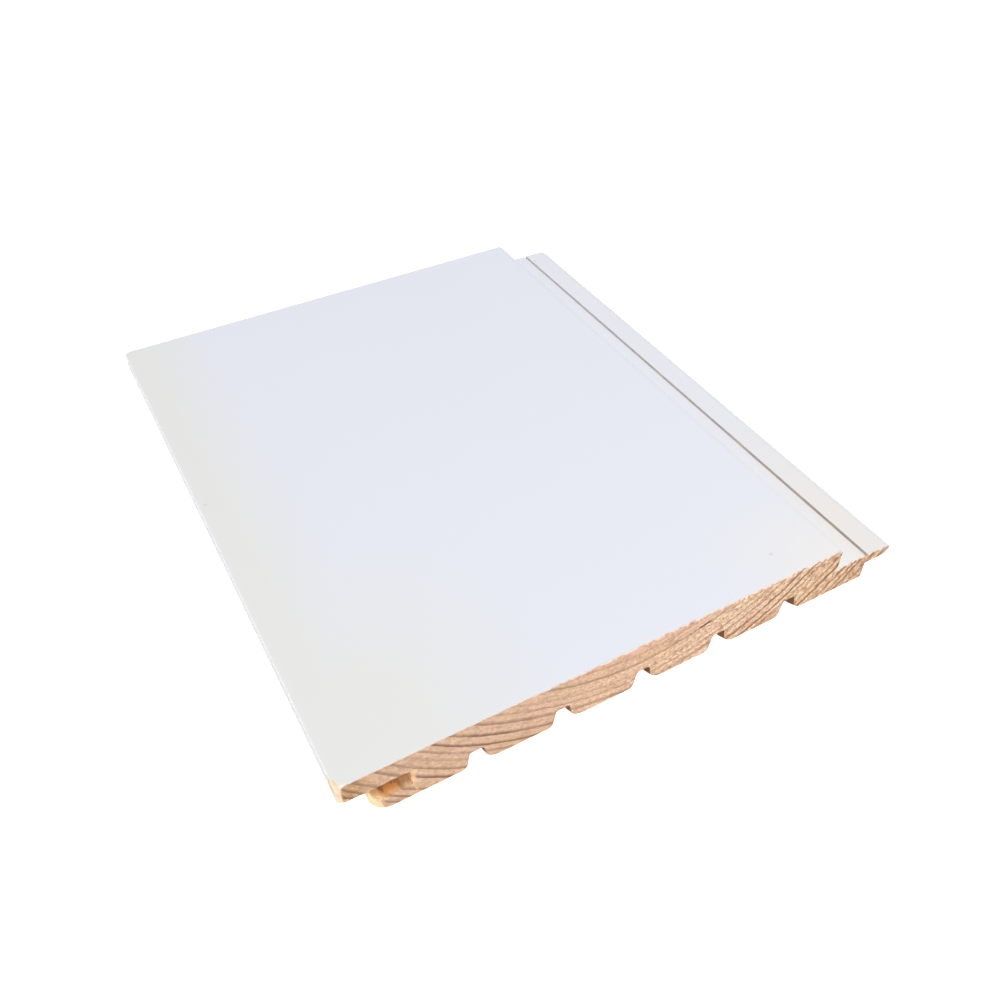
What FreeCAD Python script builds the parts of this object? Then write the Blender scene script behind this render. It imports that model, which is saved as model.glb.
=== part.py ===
"""Short length of painted tongue and groove board with a shadow gap rebate and a relieved back.

The board lies on its back with the painted face up. X runs across it, from the groove edge to the
tongue edge, Y along its length and Z through its thickness. The origin is the middle of the box round
the board, on the plane of the back. All sizes are in millimetres.
"""

import FreeCAD, Part
import os
import Sketcher

NODE = "tongue_and_groove_board"
SAME_PLACE = 1e-4

# Driving dimensions, each set by itself.
SIZES = {
    # The planed blank, measured over the tip of the tongue.
    "board_length": 165,
    "board_width": 146,
    "board_thickness": 15,
    # Groove edge: a long face lip over the groove and a shorter back lip under it.
    "face_lip_thickness": 6,
    "face_lip_overhang": 6.5,
    "face_lip_round": 1.0,
    "groove_height": 4.3,
    "groove_depth": 8.8,
    "back_lip_round": 3,
    "groove_lead_round": 1.4,
    # Tongue edge: the room that the tongue leaves free in the groove of the next board.
    "tongue_play_above": 0.6,
    "tongue_play_below": 0.2,
    "tongue_end_gap": 1.3,
    "nose_bevel_length": 1.6,
    "nose_bevel_height": 1.2,
    # Shadow gap that stays open between this face and the face lip of the next board.
    "shadow_gap": 3.5,
    "rebate_corner_round": 0.6,
    # Scored nailing line near the root of the tongue.
    "score_setback": 0.8,
    "score_width": 0.8,
    "score_depth": 0.6,
    # Relief grooves in the back, which keep the board from cupping.
    "relief_start": 23.9,
    "relief_pitch": 20.95,
    "relief_depth": 5.3,
    "relief_roof_width": 3.2,
    "relief_mouth_width": 5.0,
    "relief_roof_round": 0.8,
    "relief_mouth_round": 0.7,
    # Eased arrises: the face at the lip, the face at the shadow gap and the back at the shoulder.
    "lip_arris_round": 0.4,
    "face_edge_round": 1.2,
    "back_arris_round": 0.8,
}

# Places in the cross-section, worked out from the driving dimensions.
FACE = "Sizes.board_thickness"
BACK = "0"
LIP_TIP = "(-Sizes.board_width / 2)"
LIP_UNDERSIDE = f"({FACE} - Sizes.face_lip_thickness)"
BACK_LIP_TIP = f"({LIP_TIP} + Sizes.face_lip_overhang)"
GROOVE_FLOOR = f"({LIP_UNDERSIDE} - Sizes.groove_height)"
GROOVE_ROOT = f"({BACK_LIP_TIP} + Sizes.groove_depth)"

TONGUE_TIP = "(Sizes.board_width / 2)"
TONGUE_TOP = f"({LIP_UNDERSIDE} - Sizes.tongue_play_above)"
TONGUE_UNDERSIDE = f"({GROOVE_FLOOR} + Sizes.tongue_play_below)"
SHOULDER = f"({TONGUE_TIP} - Sizes.groove_depth + Sizes.tongue_end_gap)"
NOSE_START = f"({TONGUE_TIP} - Sizes.nose_bevel_length)"
NOSE_TOP = f"({TONGUE_TOP} - Sizes.nose_bevel_height)"
NOSE_BOTTOM = f"({TONGUE_UNDERSIDE} + Sizes.nose_bevel_height)"
FACE_EDGE = f"({SHOULDER} - Sizes.face_lip_overhang - Sizes.shadow_gap)"

SCORE_MIDDLE = f"({SHOULDER} - Sizes.score_setback)"
SCORE_START = f"({SCORE_MIDDLE} - Sizes.score_width / 2)"
SCORE_END = f"({SCORE_MIDDLE} + Sizes.score_width / 2)"
SCORE_BOTTOM = f"({TONGUE_TOP} - Sizes.score_depth)"

# The last relief groove keeps at least this share of the first one's distance from its own edge.
RELIEF_END_SHARE = 0.9
RELIEF_FIRST = f"({BACK_LIP_TIP} + Sizes.relief_start)"
RELIEF_ROOM = f"({SHOULDER} - {RELIEF_END_SHARE} * Sizes.relief_start - {RELIEF_FIRST})"
RELIEF_COUNT = f"(floor({RELIEF_ROOM} / Sizes.relief_pitch) + 1)"

# A round takes at most this share of the wall that carries it.
ROUND_SHARE = 0.9
FACE_LIP_ROOM = f"({ROUND_SHARE} * (Sizes.face_lip_thickness - Sizes.lip_arris_round))"
FACE_LIP_ROUND = f"min(Sizes.face_lip_round; {FACE_LIP_ROOM}; {ROUND_SHARE} * Sizes.face_lip_overhang)"
BACK_LIP_ROUND = f"min(Sizes.back_lip_round; {ROUND_SHARE} * {GROOVE_FLOOR})"
GROOVE_LEAD_ROOM = f"({ROUND_SHARE} * ({GROOVE_FLOOR} - {BACK_LIP_ROUND}))"
GROOVE_LEAD_ROUND = f"min(Sizes.groove_lead_round; {GROOVE_LEAD_ROOM}; {ROUND_SHARE} * Sizes.groove_depth)"
BACK_ARRIS_ROUND = f"min(Sizes.back_arris_round; {ROUND_SHARE} * {TONGUE_UNDERSIDE})"


def make_sheet(doc):
    """Put the driving dimensions in a sheet, each under its own name."""
    sheet = doc.addObject("Spreadsheet::Sheet", "Sizes")
    for row, (alias, value) in enumerate(SIZES.items(), start=1):
        sheet.set(f"A{row}", str(value))
        sheet.setAlias(f"A{row}", alias)
    doc.recompute()


def origin_feature(body, role):
    """Return the body's own origin plane or axis that has the given role."""
    return next(feature for feature in body.Origin.OriginFeatures if feature.Role == role)


def section_sketch(body, name, corners):
    """Return a closed cross-section with each corner dimensioned across and up from the origin."""
    sketch = body.newObject("Sketcher::SketchObject", name)
    sketch.AttachmentSupport = [(origin_feature(body, "XZ_Plane"), "")]
    sketch.MapMode = "FlatFace"
    points = [FreeCAD.Vector(body.evalExpression(x), body.evalExpression(z), 0) for x, z in corners]
    for start, end in zip(points, points[1:] + points[:1]):
        sketch.addGeometry(Part.LineSegment(start, end))
    for line, (across, up) in enumerate(corners):
        following = (line + 1) % len(corners)
        sketch.addConstraint(Sketcher.Constraint("Coincident", line, 2, following, 1))
        for direction, place in (("DistanceX", across), ("DistanceY", up)):
            value = body.evalExpression(place)
            index = sketch.addConstraint(Sketcher.Constraint(direction, -1, 1, line, 1, value))
            sketch.setExpression(f"Constraints[{index}]", place)
    return sketch


def mould_blank(body):
    """Pad the plain rectangular blank to the board's length."""
    corners = [(LIP_TIP, BACK), (TONGUE_TIP, BACK), (TONGUE_TIP, FACE), (LIP_TIP, FACE)]
    blank = body.newObject("PartDesign::Pad", "Blank")
    blank.Profile = section_sketch(body, "BlankSection", corners)
    blank.SideType = "Symmetric"
    blank.setExpression("Length", "Sizes.board_length")
    body.Document.recompute()


def mould(body, name, corners):
    """Cut the given cross-section from end to end of the board."""
    volume_before = body.Shape.Volume
    cut = body.newObject("PartDesign::Pocket", name)
    cut.Profile = section_sketch(body, f"{name}Section", corners)
    cut.Type = "ThroughAll"
    cut.SideType = "Symmetric"
    body.Document.recompute()
    if not cut.Shape.Volume < volume_before:
        raise RuntimeError(f"{name} takes nothing from the board")
    return cut


def mould_groove_edge(body):
    """Cut the groove and set the back lip back under the face lip."""
    corners = [
        (LIP_TIP, BACK),
        (BACK_LIP_TIP, BACK),
        (BACK_LIP_TIP, GROOVE_FLOOR),
        (GROOVE_ROOT, GROOVE_FLOOR),
        (GROOVE_ROOT, LIP_UNDERSIDE),
        (LIP_TIP, LIP_UNDERSIDE),
    ]
    mould(body, "GrooveEdge", corners)


def mould_tongue_edge(body):
    """Cut the shadow gap rebate above the tongue, the shoulder below it and the scored line at its root."""
    rebate = [
        (FACE_EDGE, FACE),
        (FACE_EDGE, TONGUE_TOP),
        (NOSE_START, TONGUE_TOP),
        (TONGUE_TIP, NOSE_TOP),
        (TONGUE_TIP, FACE),
    ]
    shoulder = [
        (SHOULDER, BACK),
        (SHOULDER, TONGUE_UNDERSIDE),
        (NOSE_START, TONGUE_UNDERSIDE),
        (TONGUE_TIP, NOSE_BOTTOM),
        (TONGUE_TIP, BACK),
    ]
    score = [
        (SCORE_START, TONGUE_TOP),
        (SCORE_MIDDLE, SCORE_BOTTOM),
        (SCORE_END, TONGUE_TOP),
    ]
    mould(body, "ShadowGapRebate", rebate)
    mould(body, "BackShoulder", shoulder)
    mould(body, "ScoredLine", score)


def mould_relief(body):
    """Cut one tapered relief groove in the back and repeat it across the board."""
    corners = [
        (f"{RELIEF_FIRST} - Sizes.relief_mouth_width / 2", BACK),
        (f"{RELIEF_FIRST} - Sizes.relief_roof_width / 2", "Sizes.relief_depth"),
        (f"{RELIEF_FIRST} + Sizes.relief_roof_width / 2", "Sizes.relief_depth"),
        (f"{RELIEF_FIRST} + Sizes.relief_mouth_width / 2", BACK),
    ]
    groove = mould(body, "ReliefGroove", corners)
    row = body.newObject("PartDesign::LinearPattern", "ReliefGrooves")
    row.Originals = [groove]
    row.Direction = (origin_feature(body, "X_Axis"), [""])
    row.Mode = "Spacing"
    row.setExpression("Offset", "Sizes.relief_pitch")
    row.setExpression("Occurrences", RELIEF_COUNT)
    body.Tip = row
    body.Document.recompute()


def edges_along_board(body, places):
    """Return the names of the edges that run the board's length at the given places in its section."""
    names = []
    for across, up in places:
        x = body.evalExpression(across)
        z = body.evalExpression(up)
        for number, edge in enumerate(body.Tip.Shape.Edges, start=1):
            ends = [vertex.Point for vertex in edge.Vertexes]
            if all(abs(end.x - x) < SAME_PLACE and abs(end.z - z) < SAME_PLACE for end in ends):
                names.append(f"Edge{number}")
    if len(names) != len(places):
        raise RuntimeError(f"{len(places)} edges asked for, {len(names)} found")
    return names


def round_edges(body, name, radius, places):
    """Round the edges at the given places in the section."""
    moulded = body.Tip
    edges = edges_along_board(body, places)
    fillet = body.newObject("PartDesign::Fillet", name)
    fillet.Base = (moulded, edges)
    fillet.setExpression("Radius", radius)
    body.Document.recompute()


def relief_places(body, width, up):
    """Return the places of both edges of every relief groove at the given level."""
    count = int(body.evalExpression(RELIEF_COUNT))
    return [
        (f"{RELIEF_FIRST} + {number} * Sizes.relief_pitch + ({side}) * {width} / 2", up)
        for number in range(count)
        for side in (-1, 1)
    ]


def ease_edges(body):
    """Round the corners that the cutters leave soft."""
    roof_edges = relief_places(body, "Sizes.relief_roof_width", "Sizes.relief_depth")
    mouth_edges = relief_places(body, "Sizes.relief_mouth_width", BACK)
    round_edges(body, "FaceLipRound", FACE_LIP_ROUND, [(LIP_TIP, LIP_UNDERSIDE)])
    round_edges(body, "BackLipRound", BACK_LIP_ROUND, [(BACK_LIP_TIP, BACK)])
    round_edges(body, "GrooveLead", GROOVE_LEAD_ROUND, [(BACK_LIP_TIP, GROOVE_FLOOR)])
    round_edges(body, "LipArris", "Sizes.lip_arris_round", [(LIP_TIP, FACE)])
    round_edges(body, "FaceEdge", "Sizes.face_edge_round", [(FACE_EDGE, FACE)])
    round_edges(body, "BackArris", BACK_ARRIS_ROUND, [(SHOULDER, BACK)])
    round_edges(body, "RebateCorner", "Sizes.rebate_corner_round", [(FACE_EDGE, TONGUE_TOP)])
    round_edges(body, "ReliefRoofRound", "Sizes.relief_roof_round", roof_edges)
    round_edges(body, "ReliefMouthRound", "Sizes.relief_mouth_round", mouth_edges)


def check(doc, body):
    """Stop if a feature failed or the board is not one sound solid."""
    for item in doc.Objects:
        if "Invalid" in item.State or "Error" in item.State:
            raise RuntimeError(f"{item.Label} failed: {item.State}")
    shape = body.Shape
    if shape.isNull() or not shape.isValid() or len(shape.Solids) != 1:
        raise RuntimeError(f"{body.Label} is not one valid solid")


def main():
    """Build the board and write it to its file."""
    doc = FreeCAD.newDocument("TongueAndGrooveBoard")
    make_sheet(doc)
    body = doc.addObject("PartDesign::Body", "Board")
    body.Label = NODE
    body.Placement = FreeCAD.Placement()
    mould_blank(body)
    mould_groove_edge(body)
    mould_tongue_edge(body)
    mould_relief(body)
    ease_edges(body)
    doc.recompute()
    check(doc, body)
    os.makedirs("parts", exist_ok=True)
    body.Shape.exportStep(f"parts/{NODE}.step")
    print(f"{NODE}: {body.Shape.Volume:.1f} mm3 in {body.Shape.BoundBox}")


main()
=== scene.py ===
"""Looks of a short length of white painted tongue and groove board, bare and sawn at both ends.

The board lies on its back: X runs across it from the groove edge to the tongue edge, Y along its
length, Z up out of the painted face. Sizes are written in millimetres; MM turns them into metres.
"""

import logging
import math
from dataclasses import dataclass, field
from enum import Enum, IntEnum
from typing import ClassVar, Sequence

import bpy
import numpy as np
from mathutils import Matrix, Vector
from mathutils.geometry import delaunay_2d_cdt


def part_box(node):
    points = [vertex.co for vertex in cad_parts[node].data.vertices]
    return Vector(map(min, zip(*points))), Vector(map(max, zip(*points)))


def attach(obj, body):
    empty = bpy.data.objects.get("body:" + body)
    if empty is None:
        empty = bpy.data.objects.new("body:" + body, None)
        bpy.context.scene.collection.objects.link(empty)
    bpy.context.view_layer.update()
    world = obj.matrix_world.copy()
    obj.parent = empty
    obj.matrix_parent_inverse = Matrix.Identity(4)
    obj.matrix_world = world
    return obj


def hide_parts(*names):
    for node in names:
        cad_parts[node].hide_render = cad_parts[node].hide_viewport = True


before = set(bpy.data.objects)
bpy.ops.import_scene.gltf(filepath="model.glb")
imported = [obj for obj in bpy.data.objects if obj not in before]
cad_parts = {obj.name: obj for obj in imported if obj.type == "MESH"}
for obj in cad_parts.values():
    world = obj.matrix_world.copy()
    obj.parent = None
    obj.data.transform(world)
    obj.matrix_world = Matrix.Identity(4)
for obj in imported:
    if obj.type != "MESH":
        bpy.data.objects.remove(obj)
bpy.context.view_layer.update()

MM = 0.001
NODE = "tongue_and_groove_board"
BODY = "root"

Array = np.ndarray
Colour = tuple[float, float, float]
Place = tuple[float, float, float]
Span = tuple[float, float]
Socket = bpy.types.NodeSocket

log = logging.getLogger("board")


def linear(red: int, green: int, blue: int) -> Colour:
    """Turn a display colour into scene values.

    Args:
        red: Red on a display, 0 to 255.
        green: Green on a display, 0 to 255.
        blue: Blue on a display, 0 to 255.

    Returns:
        The three linear values.
    """
    # A display's standard curve: straight near black, a power above.
    shares = (value / 255 for value in (red, green, blue))
    return tuple(s / 12.92 if s <= 0.04045 else ((s + 0.055) / 1.055) ** 2.4 for s in shares)


def smooth_step(low: float, high: float, value: Array) -> Array:
    """Ease from 0 at low to 1 at high.

    Args:
        low: Value where the step starts.
        high: Value where the step ends; it may lie below low.
        value: Values to ease.

    Returns:
        The eased values, 0 to 1.
    """
    share = np.clip((value - low) / (high - low), 0, 1)
    return share * share * (3 - 2 * share)


class Finish(IntEnum):
    """Finishes of the board; the value is the mesh's material slot."""

    PAINT = 0
    PLANED = 1
    SAWN = 2
    SCORED = 3


class Region(Enum):
    """Stretches of the section's outline, each with its finish."""

    FACE = ("face", Finish.PAINT)
    LIP_EDGE = ("lip edge", Finish.PAINT)
    LIP_UNDERSIDE = ("lip underside", Finish.PLANED)
    GROOVE_ROOT = ("groove root", Finish.PLANED)
    GROOVE_FLOOR = ("groove floor", Finish.PLANED)
    BACK_LIP = ("back lip", Finish.PLANED)
    BACK = ("back", Finish.PLANED)
    RELIEF = ("relief groove", Finish.PLANED)
    SHOULDER = ("back shoulder", Finish.PLANED)
    TONGUE_UNDERSIDE = ("tongue underside", Finish.PLANED)
    NOSE = ("tongue nose", Finish.PLANED)
    TONGUE_TOP = ("tongue top", Finish.PAINT)
    SCORE = ("scored line", Finish.SCORED)
    REBATE = ("rebate", Finish.PAINT)

    @property
    def finish(self) -> Finish:
        """The finish that this stretch carries."""
        return self.value[1]


class Mark(Enum):
    """Marks held at each point of the mesh, which the finishes read."""

    BARE = "bare"
    # On the skin this mark holds the shade painted into the groove and the relief grooves; on the sawn ends
    # it holds torn wood, with shade painted into the torn pits and the crack.
    TORN = "torn"


class LatticeNoise:
    """Smooth repeatable noise from a seeded lattice of values."""

    def __init__(self, seed: int, size: int = 48) -> None:
        """Fill the lattice.

        Args:
            seed: Seed of the lattice.
            size: Lattice points along each axis, after which it repeats.
        """
        self.size = size
        self.lattice = np.random.default_rng(seed).random((size, size, size))

    def at(self, x: Array, y: Array | float, z: Array | float) -> Array:
        """Return noise values, 0 to 1, at places given in lattice steps.

        Args:
            x: First coordinate.
            y: Second coordinate.
            z: Third coordinate.

        Returns:
            One value for each place.
        """
        places = np.broadcast_arrays(x, y, z)
        floors = [np.floor(p).astype(int) for p in places]
        eased = [(p - f) ** 2 * (3 - 2 * (p - f)) for p, f in zip(places, floors)]
        total = np.zeros(places[0].shape)
        for corner in np.ndindex(2, 2, 2):
            index = tuple((f + c) % self.size for f, c in zip(floors, corner))
            weight = np.prod([e if c else 1 - e for e, c in zip(eased, corner)], axis=0)
            total += weight * self.lattice[index]
        return total


@dataclass(frozen=True)
class Pattern:
    """Marks in the mesh: noise cells per millimetre along two axes, and a slice of the noise of their own."""

    first: float
    second: float
    part: float

    def at(self, noise: LatticeNoise, u: Array, v: Array | float = 1.0, shift: float = 0.0) -> Array:
        """Return the pattern's values, 0 to 1.

        Args:
            noise: Noise that the pattern is a slice of.
            u: Places along the first axis, mm.
            v: Places along the second axis, mm; left out where the pattern runs along the first alone.
            shift: Shift to another slice.

        Returns:
            One value for each place.
        """
        return noise.at(u * self.first, v * self.second, self.part + shift)


@dataclass(frozen=True)
class Texture:
    """Noise in a finish: cells per millimetre along each axis, and octaves of finer noise."""

    cells: tuple[float, float, float]
    detail: float = 2.0


@dataclass(frozen=True)
class GrowthRings:
    """Growth rings round a pith that runs along the board, above its face."""

    pith_x: float = -1.86
    pith_z: float = 67.4
    drift_x: float = 0.012
    drift_z: float = 0.022
    radii: tuple[float, ...] = (
        48.0, 52.4, 56.0, 59.15, 62.75, 64.55, 67.15, 70.35, 73.15, 75.25,
        77.35, 79.65, 82.15, 85.75, 87.85, 89.5, 92.6, 95.4, 98.5, 101.5,
    )
    strengths: tuple[float, ...] = (
        0.2, 0.25, 0.3, 0.65, 0.2, 0.5, 0.68, 0.92, 0.95, 0.5,
        0.25, 0.75, 1.0, 0.7, 0.9, 0.9, 0.8, 0.8, 0.8, 0.8,
    )
    mean_radius: float = 70.0
    slow_wave: float = 0.4
    slow_length: float = 14.0
    slow_phase: float = 3.46
    quick_wave: float = 0.15
    quick_length: float = 6.0
    quick_phase: float = -0.4
    line_start: float = 1.15
    line_full: float = 0.35
    fine_wave: float = 0.55
    fine_texture: Texture = Texture((0.55, 0.02, 0.55), 3.0)

    def polar(self, x: Array, y: Array, z: Array) -> tuple[Array, Array]:
        """Distance from the pith, with the rings' waver, and distance round it, in millimetres.

        Args:
            x: Across the board, mm.
            y: Along the board from the near end, mm.
            z: Up from the back, mm.

        Returns:
            The wavering radius and the arc at each place, mm.
        """
        across = x - (self.pith_x + self.drift_x * y)
        up = z - (self.pith_z + self.drift_z * y)
        radius = np.hypot(across, up)
        for wave, length, phase in self.waves():
            radius = radius + wave * np.sin(x / length + phase)
        return radius, np.arctan2(across, -up) * self.mean_radius

    def waves(self) -> tuple[tuple[float, float, float], ...]:
        """Return the height, length and phase of each wave in the rings."""
        slow = (self.slow_wave, self.slow_length, self.slow_phase)
        return slow, (self.quick_wave, self.quick_length, self.quick_phase)

    def late_wood(self, x: Array, y: Array, z: Array) -> Array:
        """Share of dense late wood, 0 to 1, at places in millimetres.

        Args:
            x: Across the board, mm.
            y: Along the board from the near end, mm.
            z: Up from the back, mm.

        Returns:
            The share at each place.
        """
        radius, _ = self.polar(x, y, z)
        phase = np.interp(radius, self.radii, np.arange(len(self.radii)))
        strength = np.interp(radius, self.radii, self.strengths)
        left = (1 - phase + np.floor(phase)) * np.interp(radius, self.radii, self.widths())
        return strength * smooth_step(self.line_start, self.line_full, left)

    def widths(self) -> list[float]:
        """Return the width of the ring that ends at each radius."""
        return [b - a for a, b in zip((2 * self.radii[0] - self.radii[1],) + self.radii, self.radii)]


@dataclass(frozen=True)
class Corner:
    """A corner of the section and the stretch of outline that follows it, in millimetres."""

    x: float
    z: float
    follows: Region
    radius: float = 0.0


@dataclass(frozen=True)
class SectionSizes:
    """Sizes of the board's section in millimetres."""

    face_lip_thickness: float = 6.0
    face_lip_overhang: float = 6.5
    face_lip_round: float = 1.0
    groove_height: float = 4.3
    groove_depth: float = 8.8
    back_lip_round: float = 3.0
    groove_lead_round: float = 1.4
    tongue_play_above: float = 0.6
    tongue_play_below: float = 0.2
    tongue_end_gap: float = 1.3
    nose_bevel_length: float = 1.6
    nose_bevel_height: float = 1.2
    shadow_gap: float = 3.5
    rebate_corner_round: float = 0.6
    score_setback: float = 0.8
    score_width: float = 0.8
    score_depth: float = 0.6
    relief_count: int = 5
    relief_start: float = 23.9
    relief_pitch: float = 20.95
    relief_depth: float = 5.3
    relief_roof_width: float = 3.2
    relief_mouth_width: float = 5.0
    relief_roof_round: float = 0.8
    relief_mouth_round: float = 0.7
    lip_arris_round: float = 0.4
    face_edge_round: float = 1.2
    back_arris_round: float = 0.8
    crisp_round: float = 0.12

    def shoulder(self, width: float) -> float:
        """Return where the shoulder behind the tongue stands across a board of the given width, mm."""
        return width / 2 - self.groove_depth + self.tongue_end_gap

    def face_edge(self, width: float) -> float:
        """Return where the face ends beside the rebate on a board of the given width, mm."""
        return self.shoulder(width) - self.face_lip_overhang - self.shadow_gap

    def tongue_top(self, thickness: float) -> float:
        """Return the height of the tongue's top and the rebate's floor, mm."""
        return thickness - self.face_lip_thickness - self.tongue_play_above

    def relief_middles(self, width: float) -> list[float]:
        """Return the middles of the relief grooves across a board of the given width, mm."""
        first = self.face_lip_overhang + self.relief_start - width / 2
        return [first + number * self.relief_pitch for number in range(self.relief_count)]

    def corners(self, width: float, thickness: float) -> list[Corner]:
        """List the corners, from the back lip along the back and round over the face.

        Args:
            width: Width over the tongue, mm.
            thickness: Thickness of the board, mm.

        Returns:
            The corners in order, the solid on the left-hand side.
        """
        lip_tip, nose_tip = -width / 2, width / 2
        lip_under = thickness - self.face_lip_thickness
        back_lip = lip_tip + self.face_lip_overhang
        floor = lip_under - self.groove_height
        root = back_lip + self.groove_depth
        top = self.tongue_top(thickness)
        under = floor + self.tongue_play_below
        shoulder = self.shoulder(width)
        face_edge = self.face_edge(width)
        nose = nose_tip - self.nose_bevel_length
        score = shoulder - self.score_setback
        mouth, roof = self.relief_mouth_width / 2, self.relief_roof_width / 2
        made = [Corner(back_lip, 0, Region.BACK, self.back_lip_round)]
        for middle in self.relief_middles(width):
            made += [
                Corner(middle - mouth, 0, Region.RELIEF, self.relief_mouth_round),
                Corner(middle - roof, self.relief_depth, Region.RELIEF, self.relief_roof_round),
                Corner(middle + roof, self.relief_depth, Region.RELIEF, self.relief_roof_round),
                Corner(middle + mouth, 0, Region.BACK, self.relief_mouth_round),
            ]
        made += [
            Corner(shoulder, 0, Region.SHOULDER, self.back_arris_round),
            Corner(shoulder, under, Region.TONGUE_UNDERSIDE),
            Corner(nose, under, Region.NOSE, self.crisp_round),
            Corner(nose_tip, under + self.nose_bevel_height, Region.NOSE, self.crisp_round),
            Corner(nose_tip, top - self.nose_bevel_height, Region.TONGUE_TOP, self.crisp_round),
            Corner(nose, top, Region.TONGUE_TOP, self.crisp_round),
            Corner(score + self.score_width / 2, top, Region.SCORE, self.crisp_round),
            Corner(score, top - self.score_depth, Region.SCORE),
            Corner(score - self.score_width / 2, top, Region.REBATE, self.crisp_round),
            Corner(face_edge, top, Region.REBATE, self.rebate_corner_round),
            Corner(face_edge, thickness, Region.FACE, self.face_edge_round),
            Corner(lip_tip, thickness, Region.LIP_EDGE, self.lip_arris_round),
            Corner(lip_tip, lip_under, Region.LIP_UNDERSIDE, self.face_lip_round),
            Corner(root, lip_under, Region.GROOVE_ROOT),
            Corner(root, floor, Region.GROOVE_FLOOR),
            Corner(back_lip, floor, Region.BACK_LIP, self.groove_lead_round),
        ]
        return made


@dataclass
class Outline:
    """The section's closed outline as points with softened outward normals, in millimetres."""

    NORMAL_REACH: ClassVar[float] = 0.8
    OWN_WEIGHT: ClassVar[float] = 1e-6

    points: Array
    normals: Array
    regions: list[Region]
    travel: Array

    @classmethod
    def trace(
        cls, corners: Sequence[Corner], spacing: float, back_spacing: float, arc_step: float
    ) -> "Outline":
        """Walk round the corners, rounding them and dividing the straights.

        Args:
            corners: Corners in order, the solid on the left-hand side.
            spacing: Longest straight step, mm.
            back_spacing: Longest straight step on the back and in its grooves, mm.
            arc_step: Largest turn of one step of a round, degrees.

        Returns:
            The traced outline.
        """
        arcs = []
        for before, here, after in zip(corners[-1:] + corners[:-1], corners, corners[1:] + corners[:1]):
            arcs.append(cls._round(before, here, after, arc_step))
        points: list[Array] = []
        regions: list[Region] = []
        for index, (here, arc) in enumerate(zip(corners, arcs)):
            came = corners[index - 1].follows
            half = (len(arc) - 1) // 2
            for step, point in enumerate(arc[:-1]):
                points.append(point)
                regions.append(came if step < half else here.follows)
            start, end = arc[-1], arcs[(index + 1) % len(arcs)][0]
            longest = back_spacing if here.follows in (Region.BACK, Region.RELIEF) else spacing
            count = max(1, math.ceil(np.linalg.norm(end - start) / longest))
            for step in range(count):
                points.append(start + (end - start) * step / count)
                regions.append(here.follows)
        places = np.array(points)
        ahead = np.roll(places, -1, axis=0) - places
        lengths = np.linalg.norm(ahead, axis=1)
        travel = np.concatenate([[0], np.cumsum(lengths)[:-1]])
        return cls(places, cls._soft_normals(ahead, travel), regions, travel)

    @classmethod
    def _soft_normals(cls, ahead: Array, travel: Array) -> Array:
        """Return outward normals, each a mean over the steps near its point.

        Args:
            ahead: Step from each point to the next, mm.
            travel: Way round the outline to each point, mm.

        Returns:
            One unit normal for each point.
        """
        lengths = np.linalg.norm(ahead, axis=1)
        apart = np.abs((travel + lengths / 2)[None, :] - travel[:, None])
        apart = np.minimum(apart, lengths.sum() - apart)
        weights = np.clip(1 - apart / cls.NORMAL_REACH, 0.0, 1) + cls.OWN_WEIGHT * (apart < lengths[None, :])
        normals = weights @ np.column_stack([ahead[:, 1], -ahead[:, 0]])
        return normals / np.linalg.norm(normals, axis=1)[:, None]

    @staticmethod
    def _round(before: Corner, here: Corner, after: Corner, arc_step: float) -> list[Array]:
        """Return the points of one corner's round, or the corner alone."""
        place = np.array([here.x, here.z])
        if not here.radius:
            return [place]
        back = np.array([before.x, before.z]) - place
        ahead = np.array([after.x, after.z]) - place
        back, ahead = back / np.linalg.norm(back), ahead / np.linalg.norm(ahead)
        half = math.acos(float(np.clip(back @ ahead, -1, 1))) / 2
        centre = place + (back + ahead) / np.linalg.norm(back + ahead) * here.radius / math.sin(half)
        first = place + back * here.radius / math.tan(half) - centre
        last = place + ahead * here.radius / math.tan(half) - centre
        turn = math.atan2(first[0] * last[1] - first[1] * last[0], float(first @ last))
        count = max(2, math.ceil(abs(math.degrees(turn)) / arc_step))
        made = []
        for angle in np.linspace(0, turn, count + 1):
            c, s = math.cos(angle), math.sin(angle)
            made.append(centre + np.array([c * first[0] - s * first[1], s * first[0] + c * first[1]]))
        return made


@dataclass(frozen=True)
class EdgeWear:
    """Chips, fray and worn corners beside both sawn ends, in millimetres."""

    reach: float = 0.6
    arris_depth: float = 0.04
    arrises: Pattern = Pattern(1.0, 1.0, 9.1)
    chip_depth: float = 0.12
    chip_span: Span = (0.62, 0.95)
    chips: Pattern = Pattern(1 / 1.3, 1.0, 3.3)
    fray_depth: float = 0.07
    fray_reach: float = 1.2
    fray: Pattern = Pattern(1.4, 1.0, 12.5)
    corner_depth: float = 0.4
    corner_reach: float = 1.1
    corner_spread: Span = (1.2, 0.3)
    far_shift: float = 17.0


@dataclass(frozen=True)
class GrooveWear:
    """Fibres in the groove and the scored line's waver, in millimetres, and the shade painted brown into the
    groove and the relief grooves.
    """

    fibre_depth: float = 0.09
    fibres: Pattern = Pattern(1.7, 1 / 9, 5.2)
    torn_depth: float = 0.3
    torn_reach: float = 6.0
    torn: Pattern = Pattern(0.8, 1 / 3, 1.4)
    score_depth: float = 0.12
    score: Pattern = Pattern(0.9, 1 / 7, 7.7)
    # Shares of shade painted brown into the groove and the relief grooves, strongest near the ends.
    shade_past_lip: Span = (0.6, 2.6)
    shade_at_end: float = 0.7
    shade_added: float = 0.2
    shade_added_past_end: Span = (0.2, 1.2)
    relief_shade: float = 1.25
    lighter_root: float = 0.25
    lighter_past_root: Span = (-2.8, -0.8)
    lighter_inside: float = 0.65
    lighter_past_end: Span = (8.0, 28.0)


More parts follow.
